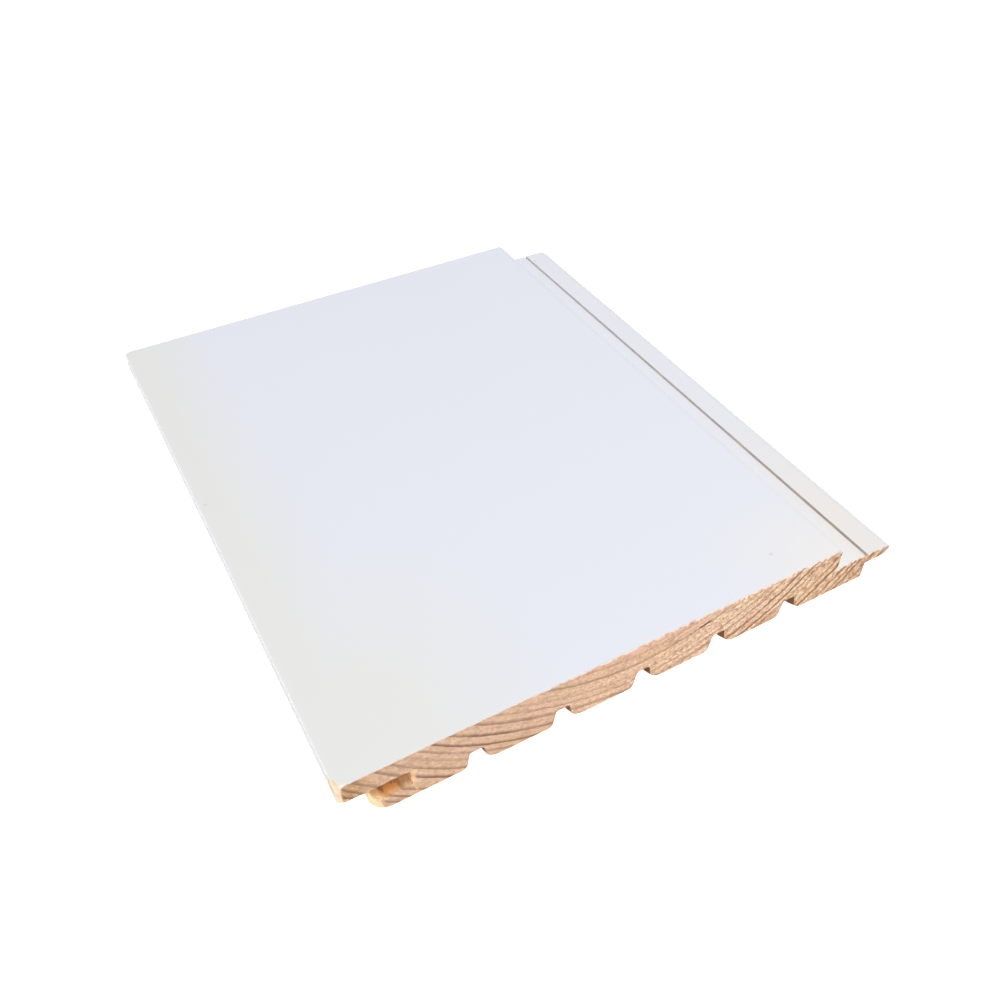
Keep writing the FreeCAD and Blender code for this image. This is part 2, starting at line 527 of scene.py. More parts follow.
@dataclass(frozen=True)
class Breaks:
    """Lips, mouths and paint that broke away at the near end, in millimetres."""

    back_lip: float = 2.2
    face_lip: float = 1.1
    face_lip_reach: float = 0.8
    lip_spread: float = 3.0
    mouths: tuple[float, float] = (1.5, 3.6)
    mouth_reach: float = 3.0
    ramp_depth: float = 0.55
    ramp_reach: float = 1.1
    ramp_least: float = 0.6
    ramp: Pattern = Pattern(0.9, 0.5, 4.1)
    paint_length: float = 3.7
    paint_width: float = 1.1
    paint_least: float = 0.65
    paint_added: float = 0.7
    paint_edge: Span = (1.25, 0.95)
    paint: Pattern = Pattern(0.35, 2.5, 6.6)
    fresh_back_lip: Span = (6.0, 3.0)


@dataclass(frozen=True)
class SawWear:
    """What the saw left on the sawn ends, in millimetres.

    A path holds places across and up, each with the mark's half-width there.
    """

    early_wood_depth: float = 0.06
    stroke_depth: float = 0.05
    stroke_lean: float = 0.25 / 1.1
    strokes: Pattern = Pattern(1.1, 0.12, 2.2)
    rough_depth: float = 0.22
    rough_least: float = 0.3
    rough_across: Span = (-30.0, 30.0)
    rough_span: Span = (0.48, 0.8)
    coarse_share: float = 0.45
    coarse: Pattern = Pattern(1.2, 0.6, 6.6)
    fine_share: float = 0.55
    fine: Pattern = Pattern(2.2, 1.9, 14.3)
    tear_depth: float = 0.35
    tear_edge: Span = (1.3, 0.4)
    tear_fray: float = 0.9
    tear: Pattern = Pattern(1.6, 1.1, 30.5)
    tear_paths: tuple[tuple[Place, ...], ...] = (
        ((-57.0, 8.4, 1.0), (-57.0, 5.4, 0.9)),
        ((-57.7, 5.0, 0.45), (-56.4, 1.5, 0.3)),
        ((-64.1, 0.6, 0.5), (-64.4, 2.4, 0.8), (-63.7, 4.4, 0.7)),
        ((-63.7, 4.4, 0.7), (-60.0, 4.2, 0.45)),
        ((-72.0, 9.2, 0.8), (-69.5, 8.8, 0.4)),
    )
    crack_depth: float = 0.3
    crack_edge: Span = (1.0, 0.5)
    crack_mark: float = 2.0
    crack_path: tuple[Place, ...] = ((13.9, 10.5, 0.25), (15.9, 10.95, 0.5), (17.7, 11.4, 0.25))
    far_shift: float = 23.0


@dataclass(frozen=True)
class SawMarks:
    """What the saw left at places on one end: depths in millimetres, and shares of torn and split wood.

    The share of torn wood goes past 1 in the crack, where shade is painted.
    """

    depth: Array
    torn: Array
    tear: Array


@dataclass
class Board:
    """The board: its moulded skin and its two sawn ends, as one closed mesh.

    Sizes are millimetres, angles degrees. The places along it start at the near end.
    """

    length: float
    width: float
    thickness: float
    sizes: SectionSizes = field(default_factory=SectionSizes)
    rings: GrowthRings = field(default_factory=GrowthRings)
    edges: EdgeWear = field(default_factory=EdgeWear)
    grooves: GrooveWear = field(default_factory=GrooveWear)
    breaks: Breaks = field(default_factory=Breaks)
    saw: SawWear = field(default_factory=SawWear)
    seed: int = 7
    spacing: float = 1.25
    back_spacing: float = 0.6
    arc_step: float = 14.0
    near_grid: float = 0.3
    far_grid: float = 0.6
    station_step: float = 2.0
    sharp_angle: float = 45.0

    END_STATIONS: ClassVar[tuple[float, ...]] = (
        0, 0.1, 0.22, 0.36, 0.55, 0.8, 1.1, 1.5, 2.0, 2.6, 3.3, 4.1, 5.0, 6.1, 7.4,
    )
    ROW_PITCH: ClassVar[float] = 0.87
    JITTER: ClassVar[float] = 0.2
    RIM_GAP: ClassVar[float] = 0.45
    JOIN_WITHIN: ClassVar[float] = 1e-7
    NOTHING: ClassVar[float] = 1e-12

    def __post_init__(self) -> None:
        """Trace the section and make the noise that the marks follow."""
        corners = self.sizes.corners(self.width, self.thickness)
        self.outline = Outline.trace(corners, self.spacing, self.back_spacing, self.arc_step)
        self.noise = LatticeNoise(self.seed)

    @property
    def lip_tip(self) -> float:
        """Where the face lip ends across the board, mm."""
        return -self.width / 2

    @property
    def nose_tip(self) -> float:
        """Where the tongue ends across the board, mm."""
        return self.width / 2

    @property
    def near_end(self) -> float:
        """Where the near end stands along the board, mm."""
        return -self.length / 2

    @property
    def face_edge(self) -> float:
        """Where the face ends beside the rebate, mm."""
        return self.sizes.face_edge(self.width)

    @property
    def rebate_floor(self) -> float:
        """Height of the rebate's floor, mm."""
        return self.sizes.tongue_top(self.thickness)

    def stations(self) -> Array:
        """Places along the board, closer together towards the sawn ends, in mm from the near end."""
        close = np.array(self.END_STATIONS)
        count = math.ceil((self.length - 2 * close[-1]) / self.station_step)
        middle = np.linspace(close[-1], self.length - close[-1], count + 1)
        return np.concatenate([close[:-1], middle, (self.length - close[:-1])[::-1]])

    def from_end(self, along: Array) -> Array:
        """Return how far places along the board lie from the nearer end, mm."""
        return np.minimum(along, self.length - along)

    def region_mask(self, *wanted: Region) -> Array:
        """Return 1 for outline points on the wanted stretches and 0 elsewhere."""
        return np.array([float(region in wanted) for region in self.outline.regions])

    def skin(self) -> Array:
        """Sweep the section from end to end with its wear.

        Returns:
            Points as stations by outline places by three, in millimetres, Y from the near end.
        """
        edges, outline = self.edges, self.outline
        along = self.stations()[:, None]
        near = along < self.length / 2
        side = np.where(near, 0.0, edges.far_shift)
        fray = edges.fray_depth * edges.fray.at(self.noise, outline.travel[None, :], side) ** 2
        fray = fray * np.clip(1 - self.from_end(along) / edges.fray_reach, 0, 1)
        inward = self._edge_wear(along, side) + self._groove_wear(along)
        section = outline.points[None, :, :] - outline.normals[None, :, :] * inward[:, :, None]
        section = section + self._mouth_breaks(along)
        points = np.empty((*inward.shape, 3))
        points[:, :, 0] = section[:, :, 0] + self._lip_breaks(along)
        points[:, :, 1] = along + np.where(near, fray, -fray)
        points[:, :, 2] = section[:, :, 1]
        return points

    def _edge_wear(self, along: Array, side: Array) -> Array:
        """Return how far chips and worn corners take the skin in beside the sawn ends.

        Args:
            along: Stations as a column, mm from the near end.
            side: Slice of the noise for each station, so that the two ends differ.

        Returns:
            Depths, stations by outline places, mm.
        """
        edges, outline, noise = self.edges, self.outline, self.noise
        travel = outline.travel[None, :]
        end = self.from_end(along)
        chips = smooth_step(*edges.chip_span, edges.chips.at(noise, travel, side)) * edges.chip_depth
        chips = chips + edges.arris_depth * edges.arrises.at(noise, travel, side)
        corners = (
            (self.lip_tip, self.thickness),
            (self.face_edge, self.thickness),
            (self.nose_tip, outline.points[:, 1].mean()),
        )
        worn = edges.corner_depth * self._corner_share(corners, edges.corner_spread)[None, :]
        worn = worn * np.clip(1 - end / edges.corner_reach, 0, 1) ** 2
        return chips * np.clip(1 - end / edges.reach, 0, 1) ** 2 + worn

    def _groove_wear(self, along: Array) -> Array:
        """Return how far torn fibres, the broken ramp and the scored line's waver take the skin in.

        Args:
            along: Stations as a column, mm from the near end.

        Returns:
            Depths, stations by outline places, mm.
        """
        grooves, breaks, noise = self.grooves, self.breaks, self.noise
        travel = self.outline.travel[None, :]
        torn = grooves.torn_depth * np.exp(-self.from_end(along) / grooves.torn_reach)
        torn = torn * grooves.torn.at(noise, travel, along)
        fibres = grooves.fibres.at(noise, travel, along) * (grooves.fibre_depth + torn)
        broken = breaks.ramp_least + (1 - breaks.ramp_least) * breaks.ramp.at(noise, travel)
        ramp = breaks.ramp_depth * broken * np.clip(1 - along / breaks.ramp_reach, 0, 1)
        score = grooves.score_depth * grooves.score.at(noise, travel, along)
        groove = self.region_mask(Region.GROOVE_FLOOR, Region.GROOVE_ROOT, Region.LIP_UNDERSIDE)
        total = groove[None, :] * fibres
        for region, depth in ((Region.GROOVE_FLOOR, ramp), (Region.SCORE, score)):
            total = total + self.region_mask(region)[None, :] * depth
        return total

    def _mouth_breaks(self, along: Array) -> Array:
        """Return how the relief grooves' mouths are rounded away at the near end.

        Args:
            along: Stations as a column, mm from the near end.

        Returns:
            Shifts across and up, stations by outline places by two, mm.
        """
        sizes, breaks, places = self.sizes, self.breaks, self.outline.points
        total = np.zeros((along.size, len(places), 2))
        fading = np.clip(1 - along / breaks.mouth_reach, 0, 1)
        mouth, roof = sizes.relief_mouth_width / 2, sizes.relief_roof_width / 2
        back = self.region_mask(Region.BACK, Region.RELIEF)[None, :]
        for middle in sizes.relief_middles(self.width):
            for side, radius in zip((-1, 1), breaks.mouths):
                corner = np.array([middle + side * mouth, 0.0])
                wall = np.array([side * (roof - mouth), sizes.relief_depth])
                wall /= np.linalg.norm(wall)
                land = np.array([float(side), 0.0])
                half = math.acos(float(wall @ land)) / 2
                # How far along the land, or below nought up the wall, each place lies from the corner.
                past = (places - corner) @ (land - wall) / (1 - wall @ land)
                rounds = np.maximum(radius * fading, sizes.relief_mouth_round)
                reach = rounds / math.tan(half)
                beside = (np.linalg.norm(places - corner, axis=1)[None, :] < reach) * back
                turn = np.clip(past[None, :] / reach, -1, 1) * (math.pi / 2 - half)
                inner = (wall + land) / np.linalg.norm(wall + land)
                across = (land - wall) / np.linalg.norm(land - wall)
                centre = rounds / math.sin(half)
                eased = (centre - rounds * np.cos(turn))[:, :, None] * inner
                eased = eased + (rounds * np.sin(turn))[:, :, None] * across
                worn = (radius * fading > sizes.relief_mouth_round) * beside
                total += worn[:, :, None] * (corner + eased - places[None, :, :])
        return total

    def _lip_breaks(self, along: Array) -> Array:
        """Return how far the tips of both lips are rounded away at the near end.

        Args:
            along: Stations as a column, mm from the near end.

        Returns:
            Shifts across, stations by outline places, mm.
        """
        sizes, breaks, places = self.sizes, self.breaks, self.outline.points
        back_tip = self.lip_tip + sizes.face_lip_overhang
        below = places[:, 1] < self.thickness - sizes.face_lip_thickness - sizes.groove_height / 2
        total = np.zeros((along.size, len(places)))
        for tip, lip, depth, reach in (
            (back_tip, below, breaks.back_lip, breaks.back_lip),
            (self.lip_tip, ~below, breaks.face_lip, breaks.face_lip_reach),
        ):
            share = lip * np.clip(1 - (places[:, 0] - tip) / (breaks.lip_spread * depth), 0, 1)
            gone = np.clip(1 - along / reach, 0, 1)
            total += share[None, :] * depth * (1 - np.sqrt(1 - gone**2))
        return total

    def _corner_share(self, corners: Sequence[tuple[float, float]], spread: Span) -> Array:
        """Return how near each outline point is to the nearest corner, 1 there and 0 past the spread."""
        share = np.zeros(len(self.outline.points))
        for corner in corners:
            away = np.linalg.norm(self.outline.points - corner, axis=1)
            share = np.maximum(share, smooth_step(*spread, away))
        return share

    @staticmethod
    def _beside(x: Array, z: Array, path: Sequence[Place]) -> Array:
        """Return each place's distance from a broken line, as a share of the half-width along it."""
        places = np.column_stack([x, z])
        nearest = np.full(len(places), np.inf)
        for start, end in zip(np.array(path[:-1]), np.array(path[1:])):
            a, b = start[:2], end[:2]
            share = np.clip((places - a) @ (b - a) / ((b - a) @ (b - a)), 0, 1)
            away = np.linalg.norm(places - a - share[:, None] * (b - a), axis=1)
            nearest = np.minimum(nearest, away / (start[2] + share * (end[2] - start[2])))
        return nearest

    def saw_marks(self, x: Array, z: Array, near: bool) -> SawMarks:
        """Work out how the saw left one end of the board.

        Args:
            x: Across the board, mm.
            z: Up from the back, mm.
            near: Whether it is the near end.

        Returns:
            The marks at each place; depths lie below the end's plane.
        """
        saw, noise = self.saw, self.noise
        shift = 0.0 if near else saw.far_shift
        y = np.full_like(x, 0.0 if near else self.length)
        radius, arc = self.rings.polar(x, y, z)
        late = self.rings.late_wood(x, y, z)
        rough = saw.rough_least + (1 - saw.rough_least) * smooth_step(*saw.rough_across, x)
        coarse = saw.coarse_share * saw.coarse.at(noise, radius, arc, shift)
        fine = saw.fine_share * saw.fine.at(noise, radius, arc, shift)
        torn = rough * smooth_step(*saw.rough_span, coarse + fine)
        depth = saw.early_wood_depth * (1 - late) + saw.rough_depth * torn
        depth += saw.stroke_depth * saw.strokes.at(noise, x + z * saw.stroke_lean, z, shift)
        tear = np.zeros_like(x)
        if near:
            frayed = saw.tear_fray * (saw.tear.at(noise, x, z) - 0.5)
            for path in saw.tear_paths:
                tear = np.maximum(tear, smooth_step(*saw.tear_edge, self._beside(x, z, path) + frayed))
            crack = smooth_step(*saw.crack_edge, self._beside(x, z, saw.crack_path))
            depth += saw.tear_depth * tear + saw.crack_depth * crack
            # The crack's share past 1 calls for the shade painted into it.
            torn = torn * (1 - tear) * (1 - crack) + saw.crack_mark * crack
        return SawMarks(depth, torn, tear)

    def end_cap(
        self, loop: Array, near: bool, first: int, loop_index: Array
    ) -> tuple[Array, list[tuple[int, ...]], SawMarks]:
        """Fill one sawn end with small triangles.

        Args:
            loop: The skin's last loop of points, mm.
            near: Whether it is the near end.
            first: Index that the cap's first new point gets in the mesh.
            loop_index: Indices of the loop's points in the mesh.

        Returns:
            The new points, the triangles and the saw's marks at the new points.
        """
        flat = loop[:, [0, 2]]
        grid = self.near_grid if near else self.far_grid
        rng = np.random.default_rng(self.seed + (1 if near else 2))
        low, high = flat.min(axis=0), flat.max(axis=0)
        rows = np.arange(low[1] + grid / 2, high[1], grid * self.ROW_PITCH)
        places = []
        for number, z in enumerate(rows):
            x = np.arange(low[0] + (number % 2) * grid / 2, high[0], grid)
            places.append(np.column_stack([x, np.full_like(x, z)]))
        inner = np.concatenate(places)
        inner += rng.uniform(-self.JITTER, self.JITTER, inner.shape) * grid
        inner = inner[self._well_inside(inner, flat, grid * self.RIM_GAP)]
        count = len(flat)
        points = [Vector(p) for p in flat] + [Vector(p) for p in inner]
        edges = [(i, (i + 1) % count) for i in range(count)]
        made, _, triangles, origins, _, _ = delaunay_2d_cdt(points, edges, [], 1, self.JOIN_WITHIN)
        if len(made) != len(points):
            raise RuntimeError(f"the sawn end grew from {len(points)} to {len(made)} points")
        order = [origin[0] for origin in origins]
        marks = self.saw_marks(inner[:, 0], inner[:, 1], near)
        y = marks.depth if near else self.length - marks.depth
        new = np.column_stack([inner[:, 0], y, inner[:, 1]])
        faces = []
        for triangle in triangles:
            ids = [order[v] for v in triangle]
            ids = [int(loop_index[i]) if i < count else first + i - count for i in ids]
            faces.append(tuple(ids) if near else tuple(reversed(ids)))
        return new, faces, marks

    @classmethod
    def _well_inside(cls, places: Array, loop: Array, gap: float) -> Array:
        """Return which places lie inside the loop and at least gap away from it."""
        inside = np.zeros(len(places), bool)
        nearest = np.full(len(places), np.inf)
        for a, b in zip(loop, np.roll(loop, -1, axis=0)):
            crosses = (a[1] > places[:, 1]) != (b[1] > places[:, 1])
            if a[1] != b[1]:
                at = a[0] + (places[:, 1] - a[1]) / (b[1] - a[1]) * (b[0] - a[0])
                inside ^= crosses & (places[:, 0] < at)
            along = b - a
            share = np.clip(((places - a) @ along) / max(float(along @ along), cls.NOTHING), 0, 1)
            nearest = np.minimum(nearest, np.linalg.norm(places - a - share[:, None] * along, axis=1))
        return inside & (nearest > gap)

    def bare_share(self) -> Array:
        """Where the paint is missing, 0 to 1, for each point of the skin.

        Returns:
            The share of bare wood, stations by outline places.
        """
        breaks = self.breaks
        along = self.stations()[:, None]
        travel = self.outline.travel[None, :]
        uneven = breaks.paint_least + breaks.paint_added * breaks.paint.at(self.noise, travel)
        gone = smooth_step(*breaks.paint_edge, along / (breaks.paint_length * uneven))
        lip = self.region_mask(Region.LIP_EDGE)[None, :] * gone
        past_tip = self.outline.points[None, :, 0] - self.lip_tip
        chipped = 0.5 + (breaks.paint_width * (1 - along / breaks.paint_length) - past_tip) / self.spacing
        face = self.region_mask(Region.FACE)[None, :] * np.clip(chipped, 0, 1)
        broken = self.region_mask(Region.BACK_LIP)[None, :] * smooth_step(*breaks.fresh_back_lip, along)
        return np.maximum(np.maximum(lip, face), broken)

    def painted_shade_share(self) -> Array:
        """Where shade is painted brown into the cutters' grooves, for each point of the skin.

        Returns:
            The share of painted shade, stations by outline places; it goes past 1 in the relief grooves.
        """
        grooves, across = self.grooves, self.outline.points[:, 0]
        along = self.stations()[:, None]
        back_tip = self.lip_tip + self.sizes.face_lip_overhang
        root = back_tip + self.sizes.groove_depth
        groove = self.region_mask(Region.GROOVE_ROOT, Region.GROOVE_FLOOR, Region.LIP_UNDERSIDE)
        groove = groove * smooth_step(*grooves.shade_past_lip, across - back_tip)
        groove = groove * (1 - grooves.lighter_root * smooth_step(*grooves.lighter_past_root, across - root))
        shade_along = grooves.shade_at_end + grooves.shade_added * smooth_step(*grooves.shade_added_past_end, along)
        relief = grooves.relief_shade * self.region_mask(Region.RELIEF)[None, :]
        shade_kept = 1 - grooves.lighter_inside * smooth_step(*grooves.lighter_past_end, self.from_end(along))
        return shade_kept * (relief + groove[None, :] * shade_along)

    def build(self, materials: dict[Finish, bpy.types.Material]) -> bpy.types.Object:
        """Make the board's mesh and give each stretch its finish.

        Args:
            materials: The material of each finish.

        Returns:
            The board.
        """
        skin = self.skin()
        stations, places = skin.shape[:2]
        index = np.arange(stations * places).reshape(stations, places)
        faces: list[tuple[int, ...]] = []
        finishes: list[int] = []
        for i in range(places):
            after = (i + 1) % places
            finish = self.outline.regions[i].finish
            for j in range(stations - 1):
                faces.append((index[j, i], index[j + 1, i], index[j + 1, after], index[j, after]))
                finishes.append(int(finish))
        points = [skin.reshape(-1, 3)]
        bare = [self.bare_share().ravel()]
        # The skin's points carry the painted shade of the grooves under the torn-and-shade mark.
        torn = [self.painted_shade_share().ravel()]
        total = stations * places
        for near, row in ((True, 0), (False, stations - 1)):
            new, triangles, marks = self.end_cap(skin[row], near, total, index[row])
            points.append(new)
            bare.append(marks.tear)
            torn.append(marks.torn)
            total += len(new)
            faces += triangles
            finishes += [int(Finish.SAWN)] * len(triangles)
        placed = np.concatenate(points)
        placed[:, 1] += self.near_end
        mesh = bpy.data.meshes.new("board")
        mesh.from_pydata((placed * MM).tolist(), [], faces)
        mesh.polygons.foreach_set("material_index", finishes)
        mesh.polygons.foreach_set("use_smooth", [True] * len(faces))
        for mark, shares in ((Mark.BARE, bare), (Mark.TORN, torn)):
            attribute = mesh.attributes.new(mark.value, "FLOAT", "POINT")
            attribute.data.foreach_set("value", np.concatenate(shares).astype(np.float32))
        for finish in Finish:
            mesh.materials.append(materials[finish])
        mesh.set_sharp_from_angle(angle=math.radians(self.sharp_angle))
        mesh.update()
        board = bpy.data.objects.new("board", mesh)
        bpy.context.scene.collection.objects.link(board)
        return board


class Graph:
    """A node tree with short ways to add nodes and join their sockets."""

    NOISE_ROUGHNESS: ClassVar[float] = 0.55

    def __init__(self, tree: bpy.types.NodeTree) -> None:
        """Keep the tree and empty it.

        Args:
            tree: Tree to fill.
        """
        self.tree = tree
        tree.nodes.clear()

    def add(self, kind: str, settings: dict[str, object] | None = None, **sockets: object) -> bpy.types.Node:
        """Add a node, set it up and feed its inputs.

        Args:
            kind: Blender's name of the node type.
            settings: Properties of the node.
            sockets: Inputs by name, spaces written as underscores; each is a value or a socket.

        Returns:
            The node.
        """
        node = self.tree.nodes.new(kind)
        for name, value in (settings or {}).items():
            setattr(node, name, value)
        for name, value in sockets.items():
            self.feed(node.inputs[name.replace("_", " ")], value)
        return node

    def feed(self, target: Socket, value: object) -> None:
        """Join a socket to an input, or set the input to a plain value."""
        if isinstance(value, bpy.types.NodeSocket):
            self.tree.links.new(value, target)
        elif isinstance(value, tuple) and len(value) == 3 and target.type == "RGBA":
            target.default_value = (*value, 1.0)
        else:
            target.default_value = value

    def math(self, operation: str, *values: object) -> Socket:
        """Add a math node and return its result."""
        node = self.tree.nodes.new("ShaderNodeMath")
        node.operation = operation
        for target, value in zip(node.inputs, values):
            self.feed(target, value)
        return node.outputs[0]

    def ease(self, value: Socket, low: float, high: float, start: float = 0.0, end: float = 1.0) -> Socket:
        """Ease a value from start at low to end at high.

        Args:
            value: Value to ease.
            low: Value where the step starts.
            high: Value where the step ends.
            start: Result at low.
            end: Result at high.

        Returns:
            The eased value.
        """
        node = self.tree.nodes.new("ShaderNodeMapRange")
        node.interpolation_type = "SMOOTHSTEP"
        for target, given in zip(node.inputs, (value, low, high, start, end)):
            self.feed(target, given)
        return node.outputs[0]

    def past(self, value: Socket, edge: float, span: Span, start: float = 0.0, end: float = 1.0) -> Socket:
        """Ease a value over a span that is measured from an edge.

        Args:
            value: Value to ease.
            edge: Value at the edge.
            span: Where the step starts and ends, counted from the edge.
            start: Result where the step starts.
            end: Result where it ends.

        Returns:
            The eased value.
        """
        return self.ease(value, edge + span[0], edge + span[1], start, end)

    def mix(self, share: object, first: object, second: object) -> Socket:
        """Mix two colours and return the mixed one."""
        node = self.tree.nodes.new("ShaderNodeMix")
        node.data_type = "RGBA"
        for target, value in zip((node.inputs[0], node.inputs[6], node.inputs[7]), (share, first, second)):
            self.feed(target, value)
        return node.outputs[2]

    def blend(self, share: object, first: object, second: object) -> Socket:
        """Mix two values and return the mixed one."""
        node = self.tree.nodes.new("ShaderNodeMix")
        for target, value in zip((node.inputs[0], node.inputs[2], node.inputs[3]), (share, first, second)):
            self.feed(target, value)
        return node.outputs[0]

    def noise(self, place: Socket, texture: Texture) -> Socket:
        """Add noise and return its value, 0 to 1.

        Args:
            place: Place in millimetres.
            texture: The noise's cells and octaves.

        Returns:
            The noise value.
        """
        scaled = self.add("ShaderNodeVectorMath", {"operation": "MULTIPLY"})
        self.feed(scaled.inputs[0], place)
        self.feed(scaled.inputs[1], texture.cells)
        node = self.add(
            "ShaderNodeTexNoise",
            Vector=scaled.outputs[0],
            Scale=1.0,
            Detail=texture.detail,
            Roughness=self.NOISE_ROUGHNESS,
        )
        return node.outputs[0]

    def mark(self, mark: Mark) -> Socket:
        """Return the share of a mark held in the mesh."""
        return self.add("ShaderNodeAttribute", {"attribute_name": mark.value}).outputs["Fac"]

    def bump(self, strength: float, depth: float, height: Socket) -> Socket:
        """Return normals that follow a height; the depth is in millimetres."""
        node = self.add("ShaderNodeBump", Strength=strength, Distance=depth * MM, Height=height)
        return node.outputs["Normal"]

    def millimetres(self) -> Socket:
        """Return the place on the board in millimetres."""
        place = self.add("ShaderNodeTexCoord").outputs["Object"]
        scaled = self.add("ShaderNodeVectorMath", {"operation": "SCALE"}, Scale=1 / MM)
        self.feed(scaled.inputs[0], place)
        return scaled.outputs[0]

    def split(self, place: Socket) -> tuple[Socket, Socket, Socket]:
        """Return the three parts of a place."""
        node = self.add("ShaderNodeSeparateXYZ", Vector=place)
        return node.outputs[0], node.outputs[1], node.outputs[2]

    def group(self, tree: bpy.types.NodeTree, **sockets: object) -> bpy.types.Node:
        """Add a shared group and feed its inputs."""
        return self.add("ShaderNodeGroup", {"node_tree": tree}, **sockets)


def new_group(
    name: str, inputs: dict[str, str], outputs: dict[str, str]
) -> tuple[Graph, bpy.types.Node, bpy.types.Node]:
    """Start a shared node group.

    Args:
        name: Name of the group.
        inputs: Socket type of each named input.
        outputs: Socket type of each named output.

    Returns:
        The group's graph, its input node and its output node.
    """
    tree = bpy.data.node_groups.new(name, "ShaderNodeTree")
    for in_out, sockets in (("INPUT", inputs), ("OUTPUT", outputs)):
        for label, kind in sockets.items():
            tree.interface.new_socket(name=label, in_out=in_out, socket_type=kind)
    graph = Graph(tree)
    return graph, graph.add("NodeGroupInput"), graph.add("NodeGroupOutput")


@dataclass
class WoodGroups:
    """Node groups that the finishes share, with the colours and textures of bare pine."""

    board: Board
    early_pale: Colour = linear(255, 228, 184)
    early_dull: Colour = linear(236, 200, 150)
    early_patch: Colour = linear(240, 206, 160)
    late_pale: Colour = linear(216, 166, 112)
    late_dull: Colour = linear(186, 130, 80)
    late_share: float = 0.75
    fibres: Texture = Texture((2.6, 0.06, 2.6), 4.0)
    patches: Texture = Texture((0.09, 0.02, 0.09))
    patch_span: Span = (0.35, 0.7)

    WIDTH_IN_CHANNEL: ClassVar[float] = 10.0

    def __post_init__(self) -> None:
        """Build each group once."""
        self.late_wood = self._late_wood()
        self.bare_pine = self._bare_pine()

    def _late_wood(self) -> bpy.types.NodeTree:
        """Build the growth rings: late wood from the place on the board."""
        graph, given, result = new_group(
            "growth_rings",
            {"Place": "NodeSocketVector"},
            {"Late Wood": "NodeSocketFloat", "Polar": "NodeSocketVector"},
        )
        rings = self.board.rings
        place = given.outputs["Place"]
        x, y, z = graph.split(place)
        along = graph.math("SUBTRACT", y, self.board.near_end)
        across = graph.math("SUBTRACT", x, graph.math("MULTIPLY_ADD", along, rings.drift_x, rings.pith_x))
        up = graph.math("SUBTRACT", z, graph.math("MULTIPLY_ADD", along, rings.drift_z, rings.pith_z))
        squares = graph.math("ADD", graph.math("MULTIPLY", across, across), graph.math("MULTIPLY", up, up))
        radius = graph.math("SQRT", squares)
        for wave, length, phase in rings.waves():
            turn = graph.math("SINE", graph.math("MULTIPLY_ADD", x, 1 / length, phase))
            radius = graph.math("MULTIPLY_ADD", turn, wave, radius)
        fine = graph.math("SUBTRACT", graph.noise(place, rings.fine_texture), 0.5)
        radius = graph.math("MULTIPLY_ADD", fine, rings.fine_wave, radius)
        low, high = rings.radii[0], rings.radii[-1]
        share = graph.math("DIVIDE", graph.math("SUBTRACT", radius, low), high - low)
        ramp = graph.add("ShaderNodeValToRGB", Fac=share)
        stops = ramp.color_ramp.elements
        count = len(rings.radii) - 1
        for number, r in enumerate(rings.radii):
            position = (r - low) / (high - low)
            stop = stops[0] if number == 0 else stops[-1] if number == count else stops.new(position)
            stop.position = position
            width = rings.widths()[number] / self.WIDTH_IN_CHANNEL
            stop.color = (number / count, rings.strengths[number], width, 1.0)
        channels = graph.add("ShaderNodeSeparateColor", Color=ramp.outputs["Color"])
        part = graph.math("FRACT", graph.math("MULTIPLY", channels.outputs["Red"], count))
        width = graph.math("MULTIPLY", channels.outputs["Blue"], self.WIDTH_IN_CHANNEL)
        left = graph.math("MULTIPLY", graph.math("SUBTRACT", 1.0, part), width)
        rise = graph.ease(left, rings.line_start, rings.line_full)
        graph.feed(result.inputs["Late Wood"], graph.math("MULTIPLY", rise, channels.outputs["Green"]))
        turn = graph.math("ARCTAN2", across, graph.math("MULTIPLY", up, -1.0))
        arc = graph.math("MULTIPLY", turn, rings.mean_radius)
        graph.feed(result.inputs["Polar"], graph.add("ShaderNodeCombineXYZ", X=radius, Y=y, Z=arc).outputs[0])
        return graph.tree

    def _bare_pine(self) -> bpy.types.NodeTree:
        """Build the colour of planed bare pine, with rings and fibres that run along the board."""
        graph, given, result = new_group(
            "bare_pine",
            {"Place": "NodeSocketVector"},
            {"Color": "NodeSocketColor", "Fibre": "NodeSocketFloat"},
        )
        place = given.outputs["Place"]
        late = graph.group(self.late_wood, Place=place).outputs["Late Wood"]
        fibre = graph.noise(place, self.fibres)
        patch = graph.ease(graph.noise(place, self.patches), *self.patch_span)
        early = graph.mix(patch, graph.mix(fibre, self.early_pale, self.early_dull), self.early_patch)
        late_colour = graph.mix(fibre, self.late_pale, self.late_dull)
        strength = graph.math("MULTIPLY", late, self.late_share)
        graph.feed(result.inputs["Color"], graph.mix(strength, early, late_colour))
        graph.feed(result.inputs["Fibre"], fibre)
        return graph.tree


def new_material(name: str) -> tuple[bpy.types.Material, Graph, bpy.types.Node]:
    """Start a material with one shader.

    Args:
        name: Name of the material.

    Returns:
        The material, its graph and its shader node.
    """
    material = bpy.data.materials.new(name)
    material.use_nodes = True
    graph = Graph(material.node_tree)
    shader = graph.add("ShaderNodeBsdfPrincipled")
    graph.add("ShaderNodeOutputMaterial", Surface=shader.outputs["BSDF"])
    return material, graph, shader


